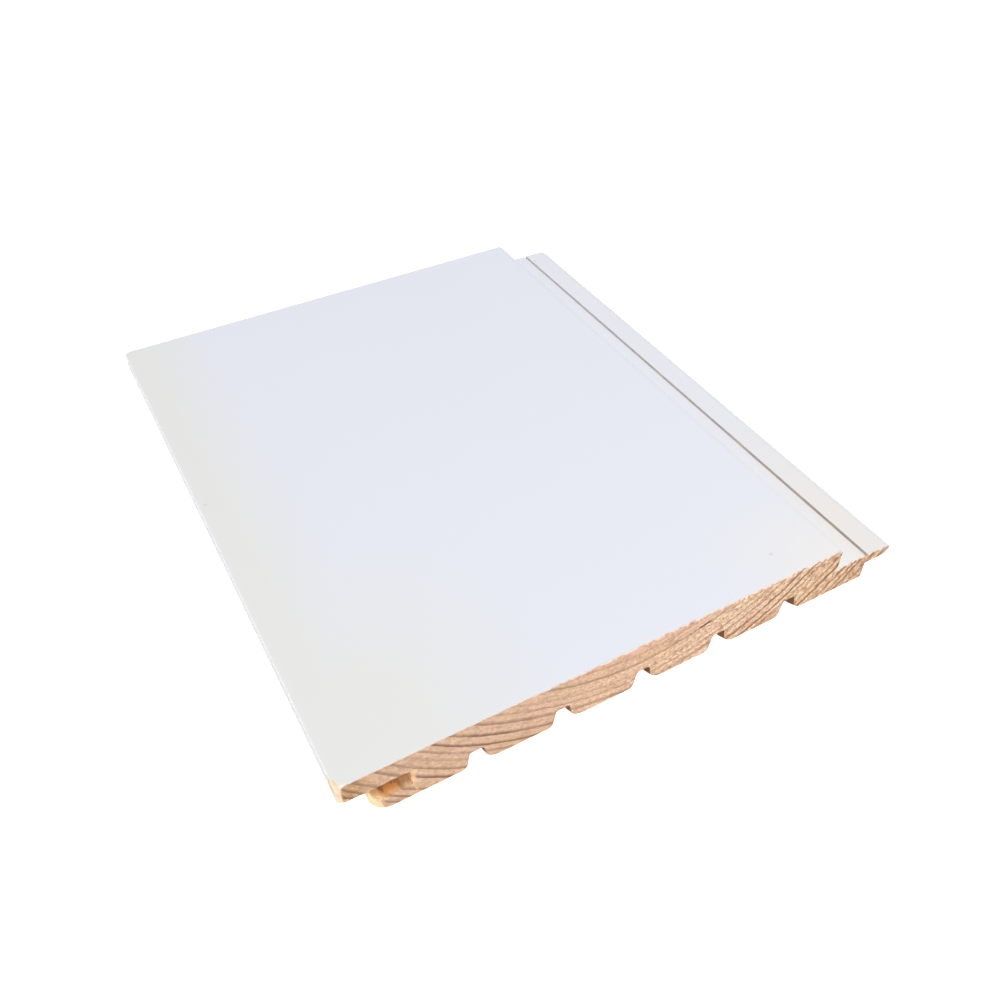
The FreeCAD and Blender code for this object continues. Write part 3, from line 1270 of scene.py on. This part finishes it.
@dataclass(frozen=True)
class SatinPaint:
    """White satin paint, thin at the sawn ends, with a few specks in it and light painted into its tints and
    edges.

    Spans are millimetres past the lip's tip, the nose's tip, the face's edge, the face or the near end,
    as their names say. Specks are places across and along from the board's middle, mm.
    """

    colour: Colour = (0.817, 0.827, 0.868)
    cloud_share: float = 0.985
    clouds: Texture = Texture((0.02, 0.015, 0.02))
    # Painted warm light in the paint's tint: by the lip and the near left corner, by the face's edge near the
    # near end, and on the rebate and tongue towards the near end.
    lip_light_colour: Colour = (0.82, 0.81, 0.765)
    lip_light_past_lip: Span = (28.0, 3.0)
    corner_light_past_lip: Span = (58.0, 13.0)
    corner_light_past_end: Span = (67.5, 12.5)
    warm_colour: Colour = (0.855, 0.83, 0.805)
    warm_past_face_edge: Span = (-35.5, -0.5)
    warm_past_end: Span = (27.5, 0.5)
    tongue_colour: Colour = (0.831, 0.791, 0.745)
    tongue_past_face_edge: Span = (1.5, 10.5)
    tongue_past_end: Span = (72.5, 2.5)
    tongue_least: float = 0.2
    # Painted light: the face's rounded edge, the nose and the lip's side are lightened where they turn away
    # from the light.
    edge_light_colour: Colour = (0.93, 0.935, 0.945)
    edge_light_past_face_edge: Span = (-1.3, -0.5)
    edge_light_past_face: Span = (-1.6, -1.0)
    edge_light_past_nose: Span = (-1.8, -1.3)
    edge_light_past_lip: Span = (0.2, 0.05)
    edge_colour: Colour = linear(240, 222, 208)
    edge_reach: float = 0.12
    edge_ragged: Texture = Texture((1.2, 0.9, 1.2), 3.0)
    edge_span: Span = (0.3, 0.75)
    edge_most: float = 2.0
    edge_least: float = 0.001
    edge_fade: Span = (1.0, 0.8)
    speck_colour: Colour = linear(218, 217, 216)
    specks: tuple[tuple[float, float], ...] = ((39.5, -75.3), (-71.2, 6.5), (66.1, 78.0))
    speck_span: Span = (0.55, 0.22)
    # Paler cream mixed into the bare wood: light painted onto the bare lip side.
    lit_bare_colour: Colour = linear(255, 243, 218)
    bare_share: float = 0.55
    bare_edge: Span = (0.44, 0.56)
    bare_breakup: Texture = Texture((0.9, 0.35, 0.9), 3.0)
    roughness: float = 0.42
    bare_roughness: float = 0.7
    film_height: float = 0.6
    stipple: Texture = Texture((3.0, 1.2, 3.0), 3.0)
    stipple_height: float = 0.12
    bump_strength: float = 0.35
    bump_depth: float = 0.1

    def material(self, groups: WoodGroups) -> bpy.types.Material:
        """Build the material from the shared groups."""
        material, graph, shader = new_material("satin_paint")
        place = graph.millimetres()
        breakup = graph.math("SUBTRACT", graph.noise(place, self.bare_breakup), 0.5)
        bare = graph.ease(graph.math("ADD", graph.mark(Mark.BARE), breakup), *self.bare_edge)
        pine = graph.group(groups.bare_pine, Place=place).outputs["Color"]
        # Bare pine mixed with a paler cream, which paints light onto it.
        pine = graph.mix(self.bare_share, pine, self.lit_bare_colour)
        white = self._toned_white(graph, place, groups.board)
        white = graph.mix(self._speck_share(graph, place), white, self.speck_colour)
        white = graph.mix(self._thin_share(graph, place, groups.board), white, self.edge_colour)
        graph.feed(shader.inputs["Base Color"], graph.mix(bare, white, pine))
        graph.feed(shader.inputs["Roughness"], graph.blend(bare, self.roughness, self.bare_roughness))
        stipple = graph.math("MULTIPLY", graph.noise(place, self.stipple), self.stipple_height)
        film = graph.math("MULTIPLY_ADD", bare, -self.film_height, stipple)
        graph.feed(shader.inputs["Normal"], graph.bump(self.bump_strength, self.bump_depth, film))
        return material

    def _toned_white(self, graph: Graph, place: Socket, board: Board) -> Socket:
        """Return the paint's white with light painted in near the board's edges: warm tints and lighter
        rounded edges.

        Args:
            graph: Graph of the material.
            place: Place in millimetres.
            board: Board that gives the places of the edges.

        Returns:
            The toned colour.
        """
        x, y, z = graph.split(place)
        lip, nose, face_edge, end = board.lip_tip, board.nose_tip, board.face_edge, board.near_end
        clouded = tuple(value * self.cloud_share for value in self.colour)
        white = graph.mix(graph.noise(place, self.clouds), self.colour, clouded)
        # Painted warm light by the lip and the near left corner.
        across = graph.past(x, lip, self.corner_light_past_lip)
        corner = graph.math("MULTIPLY", across, graph.past(y, end, self.corner_light_past_end))
        lip_light = graph.math("MAXIMUM", graph.past(x, lip, self.lip_light_past_lip), corner)
        white = graph.mix(lip_light, white, self.lip_light_colour)
        # Painted warm light by the face's edge near the near end.
        across = graph.past(x, face_edge, self.warm_past_face_edge)
        warm = graph.math("MULTIPLY", across, graph.past(y, end, self.warm_past_end))
        white = graph.mix(warm, white, self.warm_colour)
        # Painted warm light on the rebate and tongue, strongest towards the near end.
        across = graph.past(x, face_edge, self.tongue_past_face_edge)
        along = graph.past(y, end, self.tongue_past_end, self.tongue_least)
        white = graph.mix(graph.math("MULTIPLY", across, along), white, self.tongue_colour)
        # Painted light on the face's rounded edge, the nose and the lip's side.
        across = graph.past(x, face_edge, self.edge_light_past_face_edge)
        edge_light = graph.math("MULTIPLY", across, graph.past(z, board.thickness, self.edge_light_past_face))
        for edge, span in ((nose, self.edge_light_past_nose), (lip, self.edge_light_past_lip)):
            edge_light = graph.math("MAXIMUM", edge_light, graph.past(x, edge, span))
        return graph.mix(edge_light, white, self.edge_light_colour)

    def _thin_share(self, graph: Graph, place: Socket, board: Board) -> Socket:
        """Return where the paint is thin in a ragged margin beside the sawn ends, 0 to 1."""
        _, y, _ = graph.split(place)
        end = graph.math("SUBTRACT", board.length / 2, graph.math("ABSOLUTE", y))
        uneven = graph.ease(graph.noise(place, self.edge_ragged), *self.edge_span, 0.0, self.edge_most)
        reach = graph.math("MAXIMUM", graph.math("MULTIPLY", uneven, self.edge_reach), self.edge_least)
        return graph.ease(graph.math("DIVIDE", end, reach), *self.edge_fade)

    def _speck_share(self, graph: Graph, place: Socket) -> Socket:
        """Return the mask of the specks in the paint."""
        x, y, _ = graph.split(place)
        total = None
        for across, along in self.specks:
            aside, ahead = graph.math("SUBTRACT", x, across), graph.math("SUBTRACT", y, along)
            flat = graph.add("ShaderNodeCombineXYZ", X=aside, Y=ahead)
            away = graph.add("ShaderNodeVectorMath", {"operation": "LENGTH"})
            graph.feed(away.inputs[0], flat.outputs[0])
            speck = graph.ease(away.outputs["Value"], *self.speck_span)
            total = speck if total is None else graph.math("MAXIMUM", total, speck)
        return total


@dataclass(frozen=True)
class PlanedPine:
    """Bare pine as the cutters left it, with shade painted brown into the grooves and pale wood where a lip
    broke.
    """

    roughness: float = 0.62
    fresh_break: Colour = linear(255, 232, 192)
    fresh_share: float = 0.5
    # Painted shade for the grooves: pale, brown and dark browns, with dark patches near the near end, streaks
    # along the board and more of the dark in the relief grooves.
    shade_pale: Colour = linear(212, 140, 70)
    shade_brown: Colour = linear(172, 104, 48)
    shade_dark: Colour = linear(118, 75, 38)
    patches: Texture = Texture((0.8, 0.35, 0.7))
    patch_span: Span = (0.46, 0.6)
    patch_past_end: Span = (10.5, 4.5)
    streaks: Texture = Texture((0.45, 0.04, 0.35))
    streak_span: Span = (0.45, 0.7)
    streak_share: float = 0.6
    relief_span: Span = (1.0, 1.25)
    relief_share: float = 0.55
    ripple_pitch: float = 1.6
    ripple_height: float = 0.05
    bump_strength: float = 0.5
    bump_depth: float = 0.12

    def material(self, groups: WoodGroups) -> bpy.types.Material:
        """Build the material from the shared groups."""
        material, graph, shader = new_material("planed_pine")
        place = graph.millimetres()
        _, y, _ = graph.split(place)
        pine = graph.group(groups.bare_pine, Place=place)
        fibre = pine.outputs["Fibre"]
        # Shade painted into the groove and the relief grooves, as the mesh's torn-and-shade mark holds it.
        painted_shade = graph.mark(Mark.TORN)
        near_end = graph.past(y, groups.board.near_end, self.patch_past_end)
        patch = graph.ease(graph.noise(place, self.patches), *self.patch_span)
        dark = graph.math("MULTIPLY", near_end, patch)
        streak = graph.ease(graph.noise(place, self.streaks), *self.streak_span, 0.0, self.streak_share)
        relief = graph.ease(painted_shade, *self.relief_span, 0.0, self.relief_share)
        for share in (streak, relief):
            dark = graph.math("MAXIMUM", dark, share)
        brown = graph.mix(dark, graph.mix(fibre, self.shade_pale, self.shade_brown), self.shade_dark)
        fresh = graph.math("MULTIPLY", graph.mark(Mark.BARE), self.fresh_share)
        wood = graph.mix(fresh, pine.outputs["Color"], self.fresh_break)
        graph.feed(shader.inputs["Base Color"], graph.mix(painted_shade, wood, brown))
        shader.inputs["Roughness"].default_value = self.roughness
        ripple = graph.math("SINE", graph.math("MULTIPLY", y, 2 * math.pi / self.ripple_pitch))
        height = graph.math("MULTIPLY_ADD", ripple, self.ripple_height, fibre)
        graph.feed(shader.inputs["Normal"], graph.bump(self.bump_strength, self.bump_depth, height))
        return material


DARK_FLECK: Colour = linear(160, 112, 78)


@dataclass(frozen=True)
class Fleck:
    """One kind of fleck in the end grain: its colour, the noise values that show it and its strength."""

    colour: Colour
    span: Span
    close_share: float
    open_share: float

    def lay(self, graph: Graph, wood: Socket, noise: Socket, open_grain: Socket) -> Socket:
        """Lay the flecks over the wood.

        Args:
            graph: Graph of the material.
            wood: Colour of the wood.
            noise: Noise that the flecks follow.
            open_grain: Share of open grain, where the saw tears more.

        Returns:
            The flecked colour.
        """
        strength = graph.blend(open_grain, self.close_share, self.open_share)
        return graph.mix(graph.math("MULTIPLY", graph.ease(noise, *self.span), strength), wood, self.colour)


@dataclass(frozen=True)
class EarlyWood:
    """Pale early wood of a sawn end, before the saw's flecks.

    Spans across are millimetres from the board's middle, or past the lip's tip where the name says so.
    """

    left: Colour = linear(228, 189, 159)
    right: Colour = linear(255, 217, 184)
    tongue: Colour = linear(238, 198, 157)
    tongue_across: Span = (28.0, 58.0)
    lip: Colour = linear(204, 160, 114)
    past_lip: Span = (10.0, 3.0)
    inner: Colour = linear(226, 182, 152)
    inner_radius: float = 58.8
    inner_edge: Span = (0.2, -0.6)
    inner_share: float = 0.6
    hues: Texture = Texture((0.16, 0.05, 0.3))
    hue_share: float = 0.35
    rosy: Colour = linear(240, 190, 168)
    rosy_span: Span = (0.5, 0.64)
    straw: Colour = linear(232, 200, 150)
    straw_span: Span = (0.48, 0.36)
    blotches: Texture = Texture((0.6, 0.2, 0.9))
    blotch_span: Span = (0.46, 0.64)
    blotch_share: float = 0.25

    def colour(self, graph: Graph, place: Socket, radius: Socket, right: Socket, board: Board) -> Socket:
        """Return the colour of the early wood.

        Args:
            graph: Graph of the material.
            place: Place in millimetres.
            radius: Distance from the pith, mm.
            right: Share of the right-hand colours.
            board: Board that gives the places of the edges.

        Returns:
            The colour.
        """
        x, _, _ = graph.split(place)
        wood = graph.mix(right, self.left, self.right)
        wood = graph.mix(graph.ease(x, *self.tongue_across), wood, self.tongue)
        wood = graph.mix(graph.past(x, board.lip_tip, self.past_lip), wood, self.lip)
        inner = graph.past(radius, self.inner_radius, self.inner_edge, 0.0, self.inner_share)
        wood = graph.mix(inner, wood, self.inner)
        hue, blotch = graph.noise(place, self.hues), graph.noise(place, self.blotches)
        for noise, span, share, colour in (
            (hue, self.rosy_span, self.hue_share, self.rosy),
            (hue, self.straw_span, self.hue_share, self.straw),
            (blotch, self.blotch_span, self.blotch_share, DARK_FLECK),
        ):
            wood = graph.mix(graph.ease(noise, *span, 0.0, share), wood, colour)
        return wood


@dataclass(frozen=True)
class SpiltPaint:
    """Paint that ran over the edges of the face and of the rebate onto a sawn end.

    Spans across are millimetres from the board's middle, or past the face's edge where the name says so.
    """

    colour: Colour = linear(240, 228, 222)
    left_reach: float = 0.36
    right_reach: float = 1.2
    right_across: Span = (-45.0, 5.0)
    ragged: Texture = Texture((1.1, 0.3, 0.8), 3.0)
    ragged_span: Span = (0.3, 0.7)
    ragged_shares: Span = (0.5, 1.3)
    fade: Span = (1.15, 0.6)
    gathered: float = 0.7
    gathered_past_face_edge: Span = (2.6, 0.4)

    def share(self, graph: Graph, place: Socket, board: Board) -> Socket:
        """Return where the paint lies, 0 to 1.

        Args:
            graph: Graph of the material.
            place: Place in millimetres.
            board: Board that gives the places of the edges.

        Returns:
            The share of paint.
        """
        x, _, z = graph.split(place)
        in_rebate = graph.math("GREATER_THAN", x, board.face_edge)
        level = graph.blend(in_rebate, board.thickness, board.rebate_floor)
        uneven = graph.ease(graph.noise(place, self.ragged), *self.ragged_span, *self.ragged_shares)
        reach = graph.ease(x, *self.right_across, self.left_reach, self.right_reach)
        reach = graph.math("MULTIPLY", uneven, reach)
        beside = graph.past(x, board.face_edge, self.gathered_past_face_edge, 0.0, self.gathered)
        reach = graph.math("MULTIPLY_ADD", graph.math("MULTIPLY", in_rebate, beside), reach, reach)
        under = graph.math("DIVIDE", graph.math("SUBTRACT", level, z), reach)
        return graph.ease(under, *self.fade)


@dataclass(frozen=True)
class SawnEnd:
    """Sawn end grain: pale early wood, brown late wood, flecks where the saw tore it.

    Spans across are millimetres from the board's middle, or past the nose's tip where the name says so.
    """

    early: EarlyWood = EarlyWood()
    spill: SpiltPaint = SpiltPaint()
    right_across: Span = (-35.0, 30.0)
    inner_grain: Span = (0.0, 1.0)
    inner_open: float = 0.3
    specks: Texture = Texture((1.7, 0.4, 0.9), 3.0)
    speck_height: float = 0.6
    pale: Fleck = Fleck(linear(255, 236, 206), (0.52, 0.6), 0.25, 1.0)
    shade: Fleck = Fleck(DARK_FLECK, (0.45, 0.37), 0.2, 0.7)
    streaks: Texture = Texture((1.7, 0.05, 0.05))
    streak: Fleck = Fleck(DARK_FLECK, (0.46, 0.66), 0.15, 0.4)
    grit: Texture = Texture((3.4, 0.9, 3.4))
    dirt: Fleck = Fleck(DARK_FLECK, (0.5, 0.64), 0.3, 0.6)
    torn_span: Span = (0.1, 0.9)
    torn_and_shade_share: float = 0.6
    late_left: Colour = linear(128, 92, 70)
    late_right: Colour = linear(124, 80, 54)
    late_breaks: Texture = Texture((0.35, 0.02, 0.07))
    late_span: Span = (0.3, 0.6)
    late_shares: Span = (0.65, 0.95)
    grey_nose: Colour = linear(186, 168, 162)
    past_nose: Span = (-3.0, -1.0)
    nose_share: float = 0.75
    tear: Colour = linear(244, 210, 160)
    tear_share: float = 0.75
    # Painted shade in the crack: a dark line wider than the crack's cut.
    crack: Colour = linear(84, 52, 38)
    crack_span: Span = (1.05, 1.5)
    roughness: float = 0.85
    bump_strength: float = 0.5
    bump_depth: float = 0.15

    def material(self, groups: WoodGroups) -> bpy.types.Material:
        """Build the material from the shared groups."""
        material, graph, shader = new_material("sawn_end_grain")
        board = groups.board
        place = graph.millimetres()
        x, _, _ = graph.split(place)
        rings = graph.group(groups.late_wood, Place=place)
        polar = rings.outputs["Polar"]
        radius, _, _ = graph.split(polar)
        right = graph.ease(x, *self.right_across)
        specks, streaks = graph.noise(polar, self.specks), graph.noise(polar, self.streaks)
        grit = graph.noise(place, self.grit)
        torn = graph.mark(Mark.TORN)
        outer = graph.past(radius, self.early.inner_radius, self.inner_grain, self.inner_open)
        open_grain = graph.math("MULTIPLY", right, outer)
        wood = self.early.colour(graph, place, radius, right, board)
        for noise, fleck in ((specks, self.pale), (specks, self.shade), (streaks, self.streak)):
            wood = fleck.lay(graph, wood, noise, open_grain)
        # Darker where the saw tore the wood: torn fibres, with shade painted into the pits.
        wood = graph.mix(graph.ease(torn, *self.torn_span, 0.0, self.torn_and_shade_share), wood, DARK_FLECK)
        wood = self.dirt.lay(graph, wood, grit, open_grain)
        uneven = graph.ease(graph.noise(polar, self.late_breaks), *self.late_span, *self.late_shares)
        late = graph.math("MULTIPLY", rings.outputs["Late Wood"], uneven)
        wood = graph.mix(late, wood, graph.mix(right, self.late_left, self.late_right))
        nose = graph.past(x, board.nose_tip, self.past_nose, 0.0, self.nose_share)
        wood = graph.mix(nose, wood, self.grey_nose)
        wood = graph.mix(graph.math("MULTIPLY", graph.mark(Mark.BARE), self.tear_share), wood, self.tear)
        # Painted shade in the crack.
        wood = graph.mix(graph.ease(torn, *self.crack_span), wood, self.crack)
        wood = graph.mix(self.spill.share(graph, place, board), wood, self.spill.colour)
        graph.feed(shader.inputs["Base Color"], wood)
        shader.inputs["Roughness"].default_value = self.roughness
        height = graph.math("MULTIPLY_ADD", specks, self.speck_height, grit)
        graph.feed(shader.inputs["Normal"], graph.bump(self.bump_strength, self.bump_depth, height))
        return material


@dataclass(frozen=True)
class ScoredLine:
    """The scored line: a grey-brown painted shade of the narrow groove over the bare wood, greyer towards the
    far end.
    """

    roughness: float = 0.8
    near_shade: Colour = linear(170, 158, 148)
    far_shade: Colour = linear(182, 182, 180)
    far_past_end: Span = (2.5, 142.5)
    breaks: Texture = Texture((0.8, 0.25, 0.8), 3.0)
    shade_span: Span = (0.3, 0.6)
    shade_shares: Span = (0.75, 1.0)

    def material(self, groups: WoodGroups) -> bpy.types.Material:
        """Build the material from the shared groups."""
        material, graph, shader = new_material("scored_line")
        place = graph.millimetres()
        _, y, _ = graph.split(place)
        pine = graph.group(groups.bare_pine, Place=place).outputs["Color"]
        far = graph.past(y, groups.board.near_end, self.far_past_end)
        # The line's shade is painted grey-brown over the bare pine.
        painted_shade = graph.mix(far, self.near_shade, self.far_shade)
        share = graph.ease(graph.noise(place, self.breaks), *self.shade_span, *self.shade_shares)
        graph.feed(shader.inputs["Base Color"], graph.mix(share, pine, painted_shade))
        shader.inputs["Roughness"].default_value = self.roughness
        return material


@dataclass(frozen=True)
class Studio:
    """White floor, soft light and the camera's place."""

    camera_place: Place = (-91.57, -182.99, 181.91)
    azimuth: float = -28.693
    elevation: float = 43.369
    roll: float = -0.561
    lens: float = 35.227
    sensor: float = 36.0
    clip: Span = (0.01, 100.0)
    floor_size: float = 40.0
    floor_gap: float = 0.02
    floor_colour: Colour = (0.8, 0.8, 0.8)
    floor_glow: float = 1.0
    white: Colour = (1.0, 1.0, 1.0)
    sky_colour: Colour = (0.9, 0.97, 1.12)
    sky_strength: float = 0.4
    seen_sky_strength: float = 1.05
    key_from: Place = (-0.32, -0.48, 0.82)
    key_spread: float = 22.0
    key_strength: float = 2.3
    key_colour: Colour = (1.0, 0.985, 0.95)
    fill_place: Place = (120.5, -300.0, 190.0)
    fill_aim: Place = (40.5, -70.0, 8.0)
    fill_size: float = 140.0
    fill_watts: float = 0.14
    fill_colour: Colour = (1.0, 0.9, 0.78)
    side_from: Place = (-1.0, 0.35, 0.0)
    side_spread: float = 4.0
    side_strength: float = 0.5

    def build(self) -> None:
        """Make the floor, the lights and the camera."""
        self._floor()
        self._sky()
        # One wide soft light from above the near left corner, and a weak level one at the groove edge.
        self._sun("key", self.key_from, self.key_spread, self.key_strength, self.key_colour)
        self._fill()
        self._sun("side", self.side_from, self.side_spread, self.side_strength, self.white)
        self._camera()
        bpy.context.scene.view_settings.view_transform = "Standard"

    def _floor(self) -> None:
        """Lay a plain white floor under the board."""
        half = self.floor_size / 2
        z = -self.floor_gap * MM
        mesh = bpy.data.meshes.new("floor")
        corners = [(-half, -half, z), (half, -half, z), (half, half, z), (-half, half, z)]
        mesh.from_pydata(corners, [], [(0, 1, 2, 3)])
        material, graph, shader = new_material("white_floor")
        graph.feed(shader.inputs["Base Color"], self.floor_colour)
        shader.inputs["Roughness"].default_value = 1.0
        shader.inputs["Specular IOR Level"].default_value = 0.0
        graph.feed(shader.inputs["Emission Color"], self.white)
        seen = graph.add("ShaderNodeLightPath").outputs["Is Camera Ray"]
        graph.feed(shader.inputs["Emission Strength"], graph.math("MULTIPLY", seen, self.floor_glow))
        mesh.materials.append(material)
        floor = bpy.data.objects.new("floor", mesh)
        bpy.context.scene.collection.objects.link(floor)

    def _sky(self) -> None:
        """Light the board evenly from all round, and show plain white behind it."""
        world = bpy.data.worlds.new("studio")
        bpy.context.scene.world = world
        world.use_nodes = True
        graph = Graph(world.node_tree)
        seen = graph.add("ShaderNodeLightPath").outputs["Is Camera Ray"]
        colour = graph.mix(seen, self.sky_colour, self.white)
        strength = graph.blend(seen, self.sky_strength, self.seen_sky_strength)
        sky = graph.add("ShaderNodeBackground", Color=colour, Strength=strength)
        graph.add("ShaderNodeOutputWorld", Surface=sky.outputs["Background"])

    def _sun(self, name: str, direction: Place, spread: float, strength: float, colour: Colour) -> None:
        """Set a light so far away that it falls evenly.

        Args:
            name: Name of the light.
            direction: Where the light comes from.
            spread: Angle that the light fills, degrees; the wider, the softer its shadows.
            strength: Strength of the light.
            colour: Colour of the light.
        """
        light = bpy.data.lights.new(name, "SUN")
        light.angle = math.radians(spread)
        light.energy = strength
        light.color = colour
        sun = bpy.data.objects.new(name, light)
        sun.rotation_euler = Vector(direction).to_track_quat("Z", "Y").to_euler()
        bpy.context.scene.collection.objects.link(sun)

    def _fill(self) -> None:
        """Set a small warm light before the near end, towards the tongue edge."""
        light = bpy.data.lights.new("fill", "AREA")
        light.shape = "DISK"
        light.size = self.fill_size * MM
        light.energy = self.fill_watts
        light.color = self.fill_colour
        fill = bpy.data.objects.new("fill", light)
        fill.location = Vector(self.fill_place) * MM
        aim = Vector(self.fill_aim) * MM - fill.location
        fill.rotation_euler = aim.to_track_quat("-Z", "Y").to_euler()
        bpy.context.scene.collection.objects.link(fill)

    def _camera(self) -> None:
        """Set the camera where it looks down on the board's near left corner."""
        a, e, r = (math.radians(v) for v in (self.azimuth, self.elevation, self.roll))
        back = Vector((math.sin(a) * math.cos(e), -math.cos(a) * math.cos(e), math.sin(e)))
        level = Vector((0, 0, 1)).cross(back).normalized()
        right = level * math.cos(r) + back.cross(level) * math.sin(r)
        up = back.cross(right)
        data = bpy.data.cameras.new("camera")
        data.sensor_width = self.sensor
        data.lens = self.lens
        data.clip_start, data.clip_end = self.clip
        camera = bpy.data.objects.new("camera", data)
        turn = Matrix((right, up, back)).transposed().to_4x4()
        camera.matrix_world = Matrix.Translation(Vector(self.camera_place) * MM) @ turn
        bpy.context.scene.collection.objects.link(camera)
        bpy.context.scene.camera = camera


def main() -> None:
    """Build the board and the studio round it."""
    logging.basicConfig(level=logging.INFO, format="%(message)s")
    low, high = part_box(NODE)
    width, length, thickness = ((high - low) / MM)[:]
    board_maker = Board(length=length, width=width, thickness=thickness)
    groups = WoodGroups(board_maker)
    finishes = {
        Finish.PAINT: SatinPaint().material(groups),
        Finish.PLANED: PlanedPine().material(groups),
        Finish.SAWN: SawnEnd().material(groups),
        Finish.SCORED: ScoredLine().material(groups),
    }
    board = board_maker.build(finishes)
    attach(board, BODY)
    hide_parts(NODE)
    log.info("board: %d points, %d faces", len(board.data.vertices), len(board.data.polygons))
    Studio().build()
    log.info("studio: floor, sky, three lights and camera")


if __name__ == "__main__":
    main()
